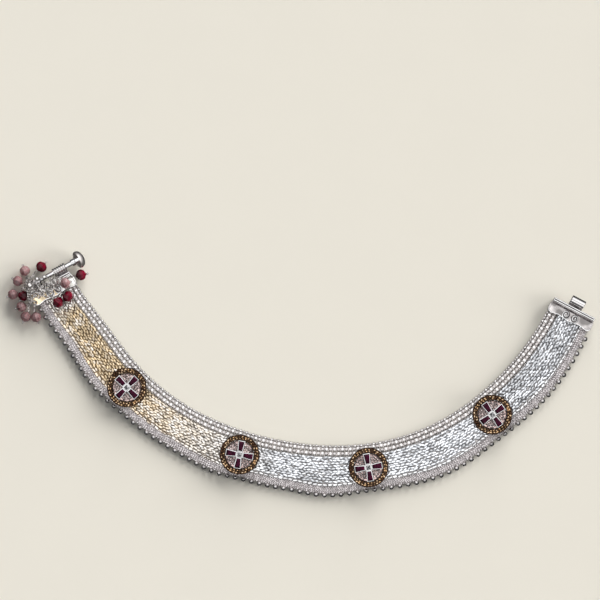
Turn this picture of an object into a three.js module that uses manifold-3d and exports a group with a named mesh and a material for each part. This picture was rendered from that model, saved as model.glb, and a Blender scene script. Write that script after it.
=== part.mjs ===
// A silver anklet with four cross-set medallions, unclasped and laid flat in its natural curve.
// Millimetres, +Z up. The band lies on z = 0, its ball edge on the outside of the curve.
import * as THREE from "three";
import { mergeVertices } from "three/addons/utils/BufferGeometryUtils.js";
import Module from "manifold-3d";

const wasm = await Module();
wasm.setup();

// Driving dimensions

// The band's centre line runs from the screw pin's axis to the axis of the other end's knuckle.
const START = { x: -98.7, y: 38.6, heading: -61.7 };
const BENDS = [
  { length: 8.5, turn: 0 },
  { length: 8, turn: 10 },
  { length: 23, turn: -2 },
  { length: 48, turn: 28.5 },
  { length: 59, turn: 26.5 },
  { length: 56, turn: 34.5 },
  { length: 53, turn: 26.5 },
  { length: 8.5, turn: 0 },
];
const LENGTH = BENDS.reduce((sum, bend) => sum + bend.length, 0);

// How far the ball edge stands out from the centre line, along the band.
const BALL_LINE = 9.2;
const REACH = [
  { station: 8, reach: 8.0 },
  { station: 21, reach: 8.1 },
  { station: 43, reach: 9.5 },
  { station: 62, reach: 8.5 },
  { station: 79, reach: 8.5 },
  { station: 98, reach: 9.8 },
  { station: 110, reach: 9.1 },
  { station: 124, reach: 9.2 },
  { station: 139, reach: 10.4 },
  { station: 156, reach: 9.0 },
  { station: 184, reach: 10.5 },
  { station: 206, reach: 9.2 },
  { station: 230, reach: 10.0 },
  { station: 256, reach: 9.2 },
];

// Across the band, "across" is positive towards the inside of the curve.
const BAND = { tuck: 3.9, steps: 38 };
const PANEL = { inner: 4.6, outer: -6.2, crown: 2.65, shoulder: 2.55, shoulderIn: 2, edge: 2.2 };
const CHAINS = [
  { across: 8.4, height: 0.62, radius: 0.5 },
  { across: 7.4, height: 1.55, radius: 0.75 },
  { across: 5.7, height: 1.85, radius: 0.75 },
];
const CHAIN_SIDES = 8;
const MESH_EDGE = { inner: -6.5, outer: -8.57, top: 1.9, under: 0.9, lipTop: 1.3, lipUnder: 0.4 };
const BALL = { radius: 0.82, pitch: 3, first: 9.9, last: 253.9, sides: 10, rings: 4 };

const MEDALLIONS = [
  { station: 53.4, tilt: 0 },
  { station: 104.9, tilt: 7 },
  { station: 155.6, tilt: 2 },
  { station: 208.6, tilt: -3 },
];
const MEDALLION = { across: -0.3, base: 2.95 };
const RING = { outer: 7.75, inner: 5.75, foot: 0.5, rim: 1.2, chamfer: 0.2, sides: 24 };
const ROPE = { low: 1.55, high: 1.8 };
const PLATE = { radius: 5.5, top: 0.9, bezelTop: 1.45, pocket: 0.7, wall: 0.3, gap: 0.12, sides: 18 };
const BAGUETTE = { inner: 1.75, outer: 5.05, narrow: 1.3, wide: 1.95 };
const SQUARE_STONE = { side: 1.6 };
const STONE = { culet: 0.85, table: 1.75, bevel: 0.3 };
const CROSS = 4;

const CAP = { back: 2.5, front: 8.4, half: 9.3, spine: 1, under: 2.95, top: 3.6, lap: 0.3 };
const CAP_EDGE = { corner: 1.5, dip: 0.6, lobe: 4.6 };
const CAP_RIM = { width: 0.5, top: 3.75 };
const BAR = { radius: 0.5, length: 17.5, x: 3 };
const SCROLL = { radius: 1.2, wire: 0.32, apart: 3, x: 5.6, sides: 10, wireSides: 5 };
const AXIS_HEIGHT = 3.7;
const KNUCKLE = { outer: 1.65, bore: 1.2, sides: 12 };
const WEB = { from: 0.9, to: 2.6, low: AXIS_HEIGHT - 1.65, high: AXIS_HEIGHT - 1 };
const LEFT_KNUCKLES = [
  { from: 3.1, to: 8.2, web: [3.1, 8.2] },
  { from: -7.6, to: -3.1, web: [-6, -3.1] },
];
const RIGHT_KNUCKLES = [{ from: -2.8, to: 2.8, web: [-2.8, 2.8] }];

// The screw pin, drawn part way out: radius and place along its axis, from tip to head.
const PIN_SIDES = 12;
const PIN_PROFILE = [
  { radius: 0, along: -4.6 },
  { radius: 0.6, along: -4.6 },
  { radius: 0.85, along: -4.1 },
  { radius: 0.85, along: 11.1 },
  { radius: 1.3, along: 11.1 },
  { radius: 1.3, along: 12.1 },
  { radius: 2.7, along: 12.3 },
  { radius: 3.4, along: 13 },
  { radius: 3.5, along: 13.7 },
  { radius: 3.1, along: 14.6 },
  { radius: 2, along: 15.4 },
  { radius: 0, along: 15.8 },
];

// The tassel hangs on a ring round the far knuckle. Places are in the left clasp's own frame:
// x towards the band, y along the pin towards its head.
const TASSEL = { along: -7.1, ring: 2.1, wire: 0.25, wireSides: 6, sides: 14 };
const HUB = { radius: 1.2, clear: 0.1, sides: 10, rings: 6 };
const STRAND = { radius: 0.3, pin: 0.18, tip: 0.42, sides: 5, steps: 4 };
const BEAD = { bore: 0.52, sides: 10, clear: 0.4, headpin: 0.45 };
const BEAD_KINDS = {
  pink: { radius: 1.95, rows: [-0.8, -0.3, 0.3, 0.8], finish: "rose" },
  ruby: { radius: 2.1, rows: [-0.78, -0.28, 0.28, 0.78], finish: "ruby" },
};
const DROPS = [
  { kind: "pink", x: -6.1, y: -6.5, z: 1.95, via: [-2.1, -7, 5.3] },
  { kind: "pink", x: -3.9, y: -10.8, z: 1.95, via: [-0.6, -8.4, 4.6] },
  { kind: "pink", x: -0.2, y: -15, z: 1.95, via: [0.2, -9.8, 4.6] },
  { kind: "pink", x: 5.6, y: -14.3, z: 1.95, via: [6.2, -11, 4] },
  { kind: "pink", x: 9.8, y: -14.7, z: 1.95, via: [7.6, -11.6, 3.9] },
  { kind: "pink", x: 11.9, y: -11.2, z: 1.95, via: [8.2, -10.4, 4.1] },
  { kind: "pink", x: 5.8, y: 5.3, z: 6.1, via: [4.6, -0.6, 5.2] },
  { kind: "ruby", x: -4.4, y: -0.1, z: 2.1, via: [-2.9, -5.3, 5.7] },
  { kind: "ruby", x: 5.7, y: 12, z: 2.15, via: [4.4, 7.6, 5.9] },
  { kind: "ruby", x: 10.7, y: 3.6, z: 4.9, via: [6.4, 0.8, 6] },
  { kind: "ruby", x: 11, y: -0.75, z: 4.9, via: [7, -2.4, 5.7] },
  { kind: "ruby", x: 2.2, y: -11.6, z: 2.1, via: [0.5, -8.2, 5] },
];

// Finishes

const finish = (color, roughness, metalness) => ({ color, roughness, metalness });
const FINISHES = {
  silver: finish(0xd4d6da, 0.25, 1),
  darkSilver: finish(0x9a9094, 0.4, 1),
  antiqueGold: finish(0x8a7350, 0.4, 1),
  ruby: finish(0x9c0f2e, 0.1, 0),
  rose: finish(0xe39aa6, 0.15, 0),
  clear: finish(0xe8eef2, 0.05, 0),
};

function piece(name, geometry, finishName) {
  const mesh = new THREE.Mesh(geometry, new THREE.MeshStandardMaterial(FINISHES[finishName]));
  mesh.name = name;
  return mesh;
}

// Joining and cutting

const rad = THREE.MathUtils.degToRad;
const WELD = 1e-4;

function solidOf(geometry) {
  const bare = geometry.index ? geometry.toNonIndexed() : geometry.clone();
  bare.deleteAttribute("normal");
  bare.deleteAttribute("uv");
  const merged = mergeVertices(bare, WELD);
  const vertProperties = merged.attributes.position.array;
  const triVerts = new Uint32Array(merged.index.array);
  return new wasm.Manifold(new wasm.Mesh({ numProp: 3, vertProperties, triVerts }));
}

function geometryOf(solid) {
  const { vertProperties, triVerts } = solid.getMesh();
  const geometry = new THREE.BufferGeometry();
  geometry.setAttribute("position", new THREE.BufferAttribute(vertProperties, 3));
  geometry.setIndex(new THREE.BufferAttribute(triVerts, 1));
  geometry.computeVertexNormals();
  return geometry;
}

const fuse = (geometries) => geometries.map(solidOf).reduce((whole, part) => whole.add(part));

// Plain shapes

function polygon(radius, sides, phase = 0) {
  const corners = [];
  for (let i = 0; i < sides; i += 1) {
    const angle = (2 * Math.PI * i) / sides + phase;
    corners.push(new THREE.Vector2(radius * Math.cos(angle), radius * Math.sin(angle)));
  }
  return corners;
}

function block(xs, ys, zs) {
  const size = [xs, ys, zs].map(([low, high]) => high - low);
  const middle = [xs, ys, zs].map(([low, high]) => (low + high) / 2);
  return new THREE.BoxGeometry(...size).translate(...middle);
}

function upright(shape, low, high) {
  return new THREE.ExtrudeGeometry(shape, { depth: high - low, bevelEnabled: false }).translate(0, 0, low);
}

// The band: straight strips are made along their length, then laid along the curve.

function bandFrame(station) {
  let { x, y } = START;
  let heading = rad(START.heading);
  let left = station;
  for (const { length, turn } of BENDS) {
    const run = Math.min(left, length);
    const bend = (rad(turn) * run) / length;
    const chord = bend === 0 ? run : (run * Math.sin(bend / 2)) / (bend / 2);
    x += chord * Math.cos(heading + bend / 2);
    y += chord * Math.sin(heading + bend / 2);
    heading += bend;
    left -= run;
  }
  return { x, y, heading };
}

function reachAt(station) {
  const next = REACH.findIndex((row) => row.station >= station);
  if (next === 0) return REACH[0].reach;
  if (next < 0) return REACH.at(-1).reach;
  const [a, b] = [REACH[next - 1], REACH[next]];
  const share = THREE.MathUtils.smoothstep(station, a.station, b.station);
  return THREE.MathUtils.lerp(a.reach, b.reach, share);
}

function bandPoint(station, across, height) {
  const { x, y, heading } = bandFrame(station);
  const share = THREE.MathUtils.clamp((PANEL.inner - across) / (PANEL.inner - PANEL.outer), 0, 1);
  const v = across - (reachAt(station) - BALL_LINE) * share;
  return new THREE.Vector3(x - v * Math.sin(heading), y + v * Math.cos(heading), height);
}

// A section drawn as (across, height), swept along the band between the two end caps.
function bandStrip(section) {
  const depth = LENGTH - 2 * BAND.tuck;
  const shape = new THREE.Shape(section);
  const strip = new THREE.ExtrudeGeometry(shape, { depth, steps: BAND.steps, bevelEnabled: false });
  const place = strip.attributes.position;
  for (let i = 0; i < place.count; i += 1) {
    const point = bandPoint(place.getZ(i) + BAND.tuck, place.getX(i), place.getY(i));
    place.setXYZ(i, point.x, point.y, point.z);
  }
  strip.computeVertexNormals();
  return strip;
}

function centreWeave() {
  const { inner, outer, crown, shoulder, shoulderIn, edge } = PANEL;
  const section = [
    new THREE.Vector2(outer, 0),
    new THREE.Vector2(inner, 0),
    new THREE.Vector2(inner, edge),
    new THREE.Vector2(inner - shoulderIn, shoulder),
    new THREE.Vector2((inner + outer) / 2, crown),
    new THREE.Vector2(outer + shoulderIn, shoulder),
    new THREE.Vector2(outer, edge),
  ];
  return piece("centre_weave", bandStrip(section), "silver");
}

function chainRow(row, index) {
  const corners = polygon(row.radius, CHAIN_SIDES, Math.PI / CHAIN_SIDES);
  const section = corners.map((corner) => corner.add(new THREE.Vector2(row.across, row.height)));
  return piece(`chain_row_${index + 1}`, bandStrip(section), "silver");
}

function beadedEdge() {
  const { inner, outer, top, under, lipTop, lipUnder } = MESH_EDGE;
  const strip = bandStrip([
    new THREE.Vector2(outer, lipUnder),
    new THREE.Vector2(inner, under),
    new THREE.Vector2(inner, top),
    new THREE.Vector2(outer, lipTop),
  ]);
  const parts = [strip];
  const count = Math.floor((BALL.last - BALL.first) / BALL.pitch) + 1;
  for (let i = 0; i < count; i += 1) {
    const station = BALL.first + i * BALL.pitch;
    const { x, y, z } = bandPoint(station, -BALL_LINE, BALL.radius);
    const ball = new THREE.SphereGeometry(BALL.radius, BALL.sides, BALL.rings).rotateX(Math.PI / 2);
    parts.push(ball.rotateZ(bandFrame(station).heading + Math.PI / 2).translate(x, y, z));
  }
  return piece("beaded_edge", geometryOf(fuse(parts)), "darkSilver");
}

// Medallions: a rope ring round a plate with a cross of tapered stones and a square one in the middle.

function turned(profile, sides) {
  const points = profile.map(([radius, height]) => new THREE.Vector2(radius, height));
  return new THREE.LatheGeometry(points, sides).rotateX(Math.PI / 2);
}

function ropeRing(name) {
  const { outer, inner, foot, rim, chamfer, sides } = RING;
  const middle = (outer + inner) / 2;
  const ring = turned(
    [
      [inner, 0],
      [outer - chamfer, 0],
      [outer, foot],
      [outer - chamfer, rim],
      [middle, ROPE.low],
      [inner + chamfer / 2, rim],
      [inner, 0],
    ],
    sides,
  );
  const place = ring.attributes.position;
  for (let i = 0; i < place.count; i += 1) {
    const turn = Math.atan2(place.getY(i), place.getX(i));
    const lobe = Math.round((turn * sides) / (2 * Math.PI));
    const onCrest = place.getZ(i) > (rim + ROPE.low) / 2;
    if (onCrest && lobe % 2 === 0) place.setZ(i, ROPE.high);
  }
  return piece(name, ring, "antiqueGold");
}

// Plan outlines of the stones, grown by a margin, with the cross arm along +X.
function baguettePlan(margin) {
  const { inner, outer, narrow, wide } = BAGUETTE;
  return [
    new THREE.Vector2(inner - margin, -narrow / 2 - margin),
    new THREE.Vector2(outer + margin, -wide / 2 - margin),
    new THREE.Vector2(outer + margin, wide / 2 + margin),
    new THREE.Vector2(inner - margin, narrow / 2 + margin),
  ];
}

function squarePlan(margin) {
  return polygon(SQUARE_STONE.side / Math.SQRT2 + margin * Math.SQRT2, 4, Math.PI / 4);
}

function settings(margin, low, high) {
  const square = upright(new THREE.Shape(squarePlan(margin)), low, high);
  const arms = Array.from({ length: CROSS }, (unused, arm) =>
    upright(new THREE.Shape(baguettePlan(margin)), low, high).rotateZ((arm * 2 * Math.PI) / CROSS),
  );
  return fuse([square, ...arms]);
}

function settingPlate(name) {
  const { radius, top, bezelTop, pocket, wall, gap, sides } = PLATE;
  const disc = turned(
    [
      [0, 0],
      [radius, 0],
      [radius, top],
      [0, top],
    ],
    sides,
  );
  const rim = turned(
    [
      [0, top / 2],
      [radius, top / 2],
      [radius, bezelTop],
      [0, bezelTop],
    ],
    sides,
  );
  const bezels = settings(wall + gap, top / 2, bezelTop).intersect(solidOf(rim));
  const plate = solidOf(disc).add(bezels).subtract(settings(gap, pocket, bezelTop + top));
  return piece(name, geometryOf(plate), "silver");
}

// A step cut: table, crown, girdle and pavilion facets round the plan outline.
function stepCut(plan) {
  const { culet, table, bevel } = STONE;
  const cut = {
    depth: table - culet - 2 * bevel,
    bevelEnabled: true,
    bevelThickness: bevel,
    bevelSize: bevel,
    bevelOffset: -bevel,
    bevelSegments: 1,
  };
  return new THREE.ExtrudeGeometry(new THREE.Shape(plan), cut).translate(0, 0, culet + bevel);
}

function medallion({ station, tilt }, index) {
  const number = index + 1;
  const centre = bandPoint(station, MEDALLION.across, MEDALLION.base);
  const group = new THREE.Group();
  group.position.copy(centre);
  group.rotation.z = bandFrame(station).heading + rad(tilt);
  group.add(ropeRing(`medallion_${number}_ring`));
  group.add(settingPlate(`medallion_${number}_plate`));
  group.add(piece(`clear_stone_${number}`, stepCut(squarePlan(0)), "clear"));
  for (let arm = 0; arm < CROSS; arm += 1) {
    const stone = piece(`ruby_${number}_${arm + 1}`, stepCut(baguettePlan(0)), "ruby");
    stone.rotation.z = (arm * 2 * Math.PI) / CROSS;
    group.add(stone);
  }
  return group;
}

// End caps: a hood over the band's end, with a bar, two raised scrolls and the clasp's knuckles.

function capOutline(inset) {
  const back = CAP.back + inset;
  const front = CAP.front - inset;
  const half = CAP.half - inset;
  const { corner, dip, lobe } = CAP_EDGE;
  const outline = new THREE.Shape();
  outline.moveTo(back, -half);
  outline.lineTo(front - corner, -half);
  outline.lineTo(front, -half + corner);
  outline.lineTo(front - dip, -lobe);
  outline.lineTo(front, 0);
  outline.lineTo(front - dip, lobe);
  outline.lineTo(front, half - corner);
  outline.lineTo(front - corner, half);
  outline.lineTo(back, half);
  outline.closePath();
  return outline;
}

function knuckle({ from, to, web }) {
  const outline = new THREE.Shape(polygon(KNUCKLE.outer, KNUCKLE.sides));
  outline.holes.push(new THREE.Path(polygon(KNUCKLE.bore, KNUCKLE.sides)));
  const tube = upright(outline, 0, to - from).rotateX(-Math.PI / 2);
  return [
    tube.translate(0, from, AXIS_HEIGHT),
    block([WEB.from, WEB.to], web, [WEB.low, WEB.high]),
  ];
}

function endCap(name, knuckles) {
  const { back, half, spine, under, top, lap } = CAP;
  const rimOutline = capOutline(0);
  rimOutline.holes.push(new THREE.Path(capOutline(CAP_RIM.width).getPoints()));
  const bar = new THREE.CylinderGeometry(BAR.radius, BAR.radius, BAR.length, CHAIN_SIDES);
  const parts = [
    upright(capOutline(0), under, top),
    upright(rimOutline, under + lap, CAP_RIM.top),
    block([back, back + spine], [-half, half], [0, under + lap]),
    bar.translate(BAR.x, 0, CAP_RIM.top),
    ...knuckles.flatMap(knuckle),
  ];
  for (const side of [-1, 1]) {
    const scroll = new THREE.TorusGeometry(SCROLL.radius, SCROLL.wire, SCROLL.wireSides, SCROLL.sides);
    parts.push(scroll.translate(SCROLL.x, (side * SCROLL.apart) / 2, top));
  }
  return piece(name, geometryOf(fuse(parts)), "silver");
}

function screwPin() {
  const points = PIN_PROFILE.map(({ radius, along }) => new THREE.Vector2(radius, along));
  const pin = piece("screw_pin", new THREE.LatheGeometry(points, PIN_SIDES), "silver");
  pin.position.z = AXIS_HEIGHT;
  return pin;
}

// Tassel: strands from a hub on the ring, each through a drilled bead to a ball tip.

const KNUCKLE_TOP = AXIS_HEIGHT + KNUCKLE.outer;
const HUB_CENTRE = new THREE.Vector3(0, TASSEL.along, KNUCKLE_TOP + HUB.clear + HUB.radius);

function dropAxis({ x, y, z, via }) {
  const centre = new THREE.Vector3(x, y, z);
  const bend = new THREE.Vector3(...via);
  return { centre, bend, axis: centre.clone().sub(bend).normalize() };
}

function strandTube(curve, radius, steps) {
  const section = new THREE.Shape(polygon(radius, STRAND.sides));
  return new THREE.ExtrudeGeometry(section, { steps, extrudePath: curve, bevelEnabled: false });
}

function strand(drop) {
  const { centre, bend, axis } = dropAxis(drop);
  const half = BEAD_KINDS[drop.kind].radius;
  const entry = centre.clone().addScaledVector(axis, -half - BEAD.clear);
  const tip = centre.clone().addScaledVector(axis, half + BEAD.headpin);
  const pinStart = entry.clone().addScaledVector(axis, -STRAND.radius);
  const route = new THREE.QuadraticBezierCurve3(HUB_CENTRE, bend, entry);
  return [
    strandTube(route, STRAND.radius, STRAND.steps),
    strandTube(new THREE.LineCurve3(pinStart, tip), STRAND.pin, 1),
    new THREE.OctahedronGeometry(STRAND.tip).translate(tip.x, tip.y, tip.z),
  ];
}

function tasselChains() {
  const { ring: ringRadius, wire, wireSides, sides } = TASSEL;
  const ring = new THREE.TorusGeometry(ringRadius, wire, wireSides, sides).rotateX(Math.PI / 2);
  const hub = new THREE.SphereGeometry(HUB.radius, HUB.sides, HUB.rings);
  const parts = [
    ring.translate(0, TASSEL.along, AXIS_HEIGHT),
    hub.translate(HUB_CENTRE.x, HUB_CENTRE.y, HUB_CENTRE.z),
    ...DROPS.flatMap(strand),
  ];
  return piece("tassel_chains", geometryOf(fuse(parts)), "silver");
}

function bead(drop, name) {
  const { radius, rows, finish: beadFinish } = BEAD_KINDS[drop.kind];
  const end = Math.sqrt(radius ** 2 - BEAD.bore ** 2);
  const wall = rows.map((row) => new THREE.Vector2(radius * Math.sqrt(1 - row ** 2), radius * row));
  const mouths = [new THREE.Vector2(BEAD.bore, -end), new THREE.Vector2(BEAD.bore, end)];
  const profile = [mouths[0], ...wall, mouths[1], mouths[0]];
  const { centre, axis } = dropAxis(drop);
  const mesh = piece(name, new THREE.LatheGeometry(profile, BEAD.sides), beadFinish);
  mesh.position.copy(centre);
  mesh.quaternion.setFromUnitVectors(new THREE.Vector3(0, 1, 0), axis);
  return mesh;
}

function tasselBeads() {
  const counts = { pink: 0, ruby: 0 };
  return DROPS.map((drop) => {
    counts[drop.kind] += 1;
    return bead(drop, `${drop.kind}_bead_${counts[drop.kind]}`);
  });
}

// Assembly

function placed(station, turn, pieces) {
  const { x, y, heading } = bandFrame(station);
  const group = new THREE.Group();
  group.position.set(x, y, 0);
  group.rotation.z = heading + turn;
  group.add(...pieces);
  return group;
}

const anklet = new THREE.Group();
anklet.add(centreWeave(), ...CHAINS.map(chainRow), beadedEdge());
anklet.add(...MEDALLIONS.map(medallion));
const leftPieces = [endCap("end_cap_left", LEFT_KNUCKLES), screwPin(), tasselChains(), ...tasselBeads()];
anklet.add(placed(0, 0, leftPieces));
anklet.add(placed(LENGTH, Math.PI, [endCap("end_cap_right", RIGHT_KNUCKLES)]));

export default anklet;
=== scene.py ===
import math
import random

import bpy
import numpy as np
from mathutils import Matrix, Vector, noise


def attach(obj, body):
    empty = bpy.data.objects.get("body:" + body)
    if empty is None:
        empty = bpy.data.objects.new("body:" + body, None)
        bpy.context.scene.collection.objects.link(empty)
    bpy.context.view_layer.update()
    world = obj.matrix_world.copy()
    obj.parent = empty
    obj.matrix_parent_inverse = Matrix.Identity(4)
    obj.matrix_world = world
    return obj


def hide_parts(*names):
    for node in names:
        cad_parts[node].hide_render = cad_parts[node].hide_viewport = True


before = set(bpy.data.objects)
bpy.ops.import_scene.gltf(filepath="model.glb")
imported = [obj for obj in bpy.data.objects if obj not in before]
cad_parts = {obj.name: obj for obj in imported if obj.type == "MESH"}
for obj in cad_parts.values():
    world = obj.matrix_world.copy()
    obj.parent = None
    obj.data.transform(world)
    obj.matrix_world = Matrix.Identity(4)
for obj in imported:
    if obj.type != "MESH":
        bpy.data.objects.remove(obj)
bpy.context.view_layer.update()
mm = 0.001  # pieces are modelled in millimetres and brought to metres when they are finished
rng = random.Random(27)
print("frame loaded,", len(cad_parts), "solids")


# helpers for modelling

origin = (0, 0, 0)


def sway(reach):  # a random amount to either side
    return rng.uniform(-reach, reach)


def randomFor(places, span):  # one random value for each place
    return [rng.uniform(*span) for place in places]


def between(rows, at):  # reads a value off a table of places and values
    places, values = zip(*rows)
    return float(np.interp(at, places, values))


def begin(add, **settings):  # a new primitive, with nothing else selected
    bpy.ops.object.select_all(action="DESELECT")
    add(**settings)
    return bpy.context.object


def editAll():
    bpy.ops.object.mode_set(mode="EDIT")
    bpy.ops.mesh.select_all(action="SELECT")


def pick(piece, kind, test):  # stays in edit mode, with only what passes the test selected
    bpy.ops.object.mode_set(mode="EDIT")
    bpy.ops.mesh.select_mode(type=kind)
    bpy.ops.mesh.select_all(action="DESELECT")
    bpy.ops.object.mode_set(mode="OBJECT")
    mesh = piece.data
    if kind == "FACE":
        for face in mesh.polygons:
            face.select = test(face.center, face.normal)
    elif kind == "EDGE":
        for edge in mesh.edges:
            a, b = (mesh.vertices[i].co for i in edge.vertices)
            edge.select = test(a, b)
    else:
        for vertex in mesh.vertices:
            vertex.select = test(vertex.co)
    bpy.ops.object.mode_set(mode="EDIT")


def facesUp(centre, normal):
    return normal.z > 0.9


def extrude(x=0.0, y=0.0, z=0.0):
    bpy.ops.mesh.extrude_region_move(TRANSFORM_OT_translate={"value": (x, y, z)})


def resize(x=1.0, y=1.0, z=1.0, centre=origin):
    bpy.ops.transform.resize(value=(x, y, z), center_override=centre)


def quarterTurn(axis):
    bpy.ops.transform.rotate(value=math.pi / 2, orient_axis=axis, center_override=origin)


def done():
    bpy.ops.object.mode_set(mode="OBJECT")


def sphere(radius, sides, rings, scale=(1, 1, 1), spot=origin, lying=False):  # lying: its poles are along x
    piece = begin(
        bpy.ops.mesh.primitive_uv_sphere_add, segments=sides, ring_count=rings, radius=radius, location=spot,
    )
    bpy.ops.object.transform_apply(location=True)
    editAll()
    if lying:
        quarterTurn("Y")
    resize(*scale, spot)
    done()
    return piece


def block(size, bevel, centre=origin, segments=1):  # a box with its edges broken
    piece = begin(bpy.ops.mesh.primitive_cube_add, size=1, location=centre)
    bpy.ops.object.transform_apply(location=True)
    editAll()
    resize(*size, centre)
    bpy.ops.mesh.bevel(offset=bevel, segments=segments, affect="EDGES")
    done()
    return piece


def wireRing(radius, wire, sides, wireSides):  # flat, round the z axis
    return begin(
        bpy.ops.mesh.primitive_torus_add, major_radius=radius, minor_radius=wire,
        major_segments=sides, minor_segments=wireSides,
    )


def useModifier(piece, kind, **settings):
    modifier = piece.modifiers.new(kind.lower(), kind)
    for key, value in settings.items():
        setattr(modifier, key, value)
    bpy.context.view_layer.objects.active = piece
    bpy.ops.object.modifier_apply(modifier=modifier.name)


def outward(piece):  # merge doubles, then turn every face outwards
    bpy.context.view_layer.objects.active = piece
    editAll()
    bpy.ops.mesh.remove_doubles(threshold=0.002)
    bpy.ops.mesh.normals_make_consistent(inside=False)
    done()


def lathe(profile, sides):  # profile rows are radius and height
    piece = begin(bpy.ops.mesh.primitive_plane_add, size=1)
    editAll()
    bpy.ops.mesh.select_mode(type="VERT")
    bpy.ops.mesh.merge(type="CENTER")
    radius, height = profile[0]
    bpy.ops.transform.translate(value=(radius, 0, height))
    for (r0, h0), (r1, h1) in zip(profile, profile[1:]):
        extrude(x=r1 - r0, z=h1 - h0)
    bpy.ops.mesh.select_all(action="SELECT")
    bpy.ops.mesh.spin(steps=sides, angle=math.tau, center=(0, 0, 0), axis=(0, 0, 1))
    done()
    outward(piece)
    return piece


def newObject(name, data):
    made = bpy.data.objects.new(name, data)
    bpy.context.scene.collection.objects.link(made)
    return made


def selectOnly(*pieces):  # the first one becomes active
    bpy.ops.object.select_all(action="DESELECT")
    for piece in pieces:
        piece.select_set(True)
    bpy.context.view_layer.objects.active = pieces[0]


def tube(points, radius):  # a round wire through the points, as a mesh
    curve = bpy.data.curves.new("wire", "CURVE")
    curve.dimensions = "3D"
    curve.bevel_depth = radius
    curve.bevel_resolution = 1
    curve.use_fill_caps = True
    spline = curve.splines.new("POLY")
    spline.points.add(len(points) - 1)
    for target, point in zip(spline.points, points):
        target.co = (*point, 1)
    selectOnly(newObject("wire", curve))
    bpy.ops.object.convert(target="MESH")
    return bpy.context.object


def joined(pieces):
    selectOnly(*pieces)
    bpy.ops.object.join()
    return bpy.context.object


def mark(mesh, name, values):  # one value for each point, for the materials to read
    layer = mesh.attributes.new(name, "FLOAT", "POINT")
    layer.data.foreach_set("value", np.asarray(values, np.float32))


def copies(model, places, tones=None, warmth=None):  # one mesh with a copy of the model at each place
    mesh = model.data
    points = np.empty(len(mesh.vertices) * 3)
    mesh.vertices.foreach_get("co", points)
    points = points.reshape(-1, 3)
    moves = np.array([np.array(place) for place in places])
    spread = np.einsum("nij,vj->nvi", moves[:, :3, :3], points) + moves[:, None, :3, 3]
    corners = [tuple(face.vertices) for face in mesh.polygons]
    size = len(points)
    faces = [tuple(i + size * n for i in corner) for n in range(len(moves)) for corner in corners]
    whole = bpy.data.meshes.new("copies")
    whole.from_pydata(spread.reshape(-1, 3).tolist(), [], faces)
    if tones is not None:
        mark(whole, "tone", np.repeat(tones, size))
    if warmth is not None:
        mark(whole, "warm", np.repeat(warmth, size))
    piece = newObject("copies", whole)
    bpy.data.objects.remove(model)
    return piece


def moved(piece, place):
    piece.data.transform(place)
    return piece


def turnZ(degrees):
    return Matrix.Rotation(math.radians(degrees), 4, "Z")


def turnX(degrees):
    return Matrix.Rotation(math.radians(degrees), 4, "X")


def turnY(degrees):
    return Matrix.Rotation(math.radians(degrees), 4, "Y")


def pointed(way, along, up):  # turns the axis called along into the given way
    return way.to_track_quat(along, up).to_matrix().to_4x4()


def finishPiece(piece, name, material, body="root", nodes=(), smooth=35):
    selectOnly(piece)
    piece.data.transform(Matrix.Scale(mm, 4))
    piece.name = piece.data.name = name
    piece.data.materials.clear()
    piece.data.materials.append(material)
    if smooth:
        bpy.ops.object.shade_smooth_by_angle(angle=math.radians(smooth))
    else:
        bpy.ops.object.shade_flat()
    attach(piece, body)
    if nodes:
        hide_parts(*nodes)
    print("made", name, len(piece.data.polygons), "faces")


# materials

def setInputs(node, values):
    for key, value in values.items():
        node.inputs[key].default_value = value


def addNode(tree, kind, x, y, inputs=None, **settings):
    node = tree.nodes.new(kind)
    node.location = (x, y)
    for key, value in settings.items():
        setattr(node, key, value)
    setInputs(node, inputs or {})
    return node


def connect(tree, rows):  # a node and its output, then a node and its input
    for source, output, target, socket in rows:
        tree.links.new(source.outputs[output], target.inputs[socket])


def setRamp(node, stops):  # place and colour of each stop
    while len(node.color_ramp.elements) < len(stops):
        node.color_ramp.elements.new(0.5)
    for element, (place, colour) in zip(node.color_ramp.elements, stops):
        element.position = place
        element.color = (*colour, 1)


def newMaterial(name, inputs):
    material = bpy.data.materials.new(name)
    material.use_nodes = True
    shader = material.node_tree.nodes["Principled BSDF"]
    setInputs(shader, inputs)
    return material, material.node_tree, shader


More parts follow.
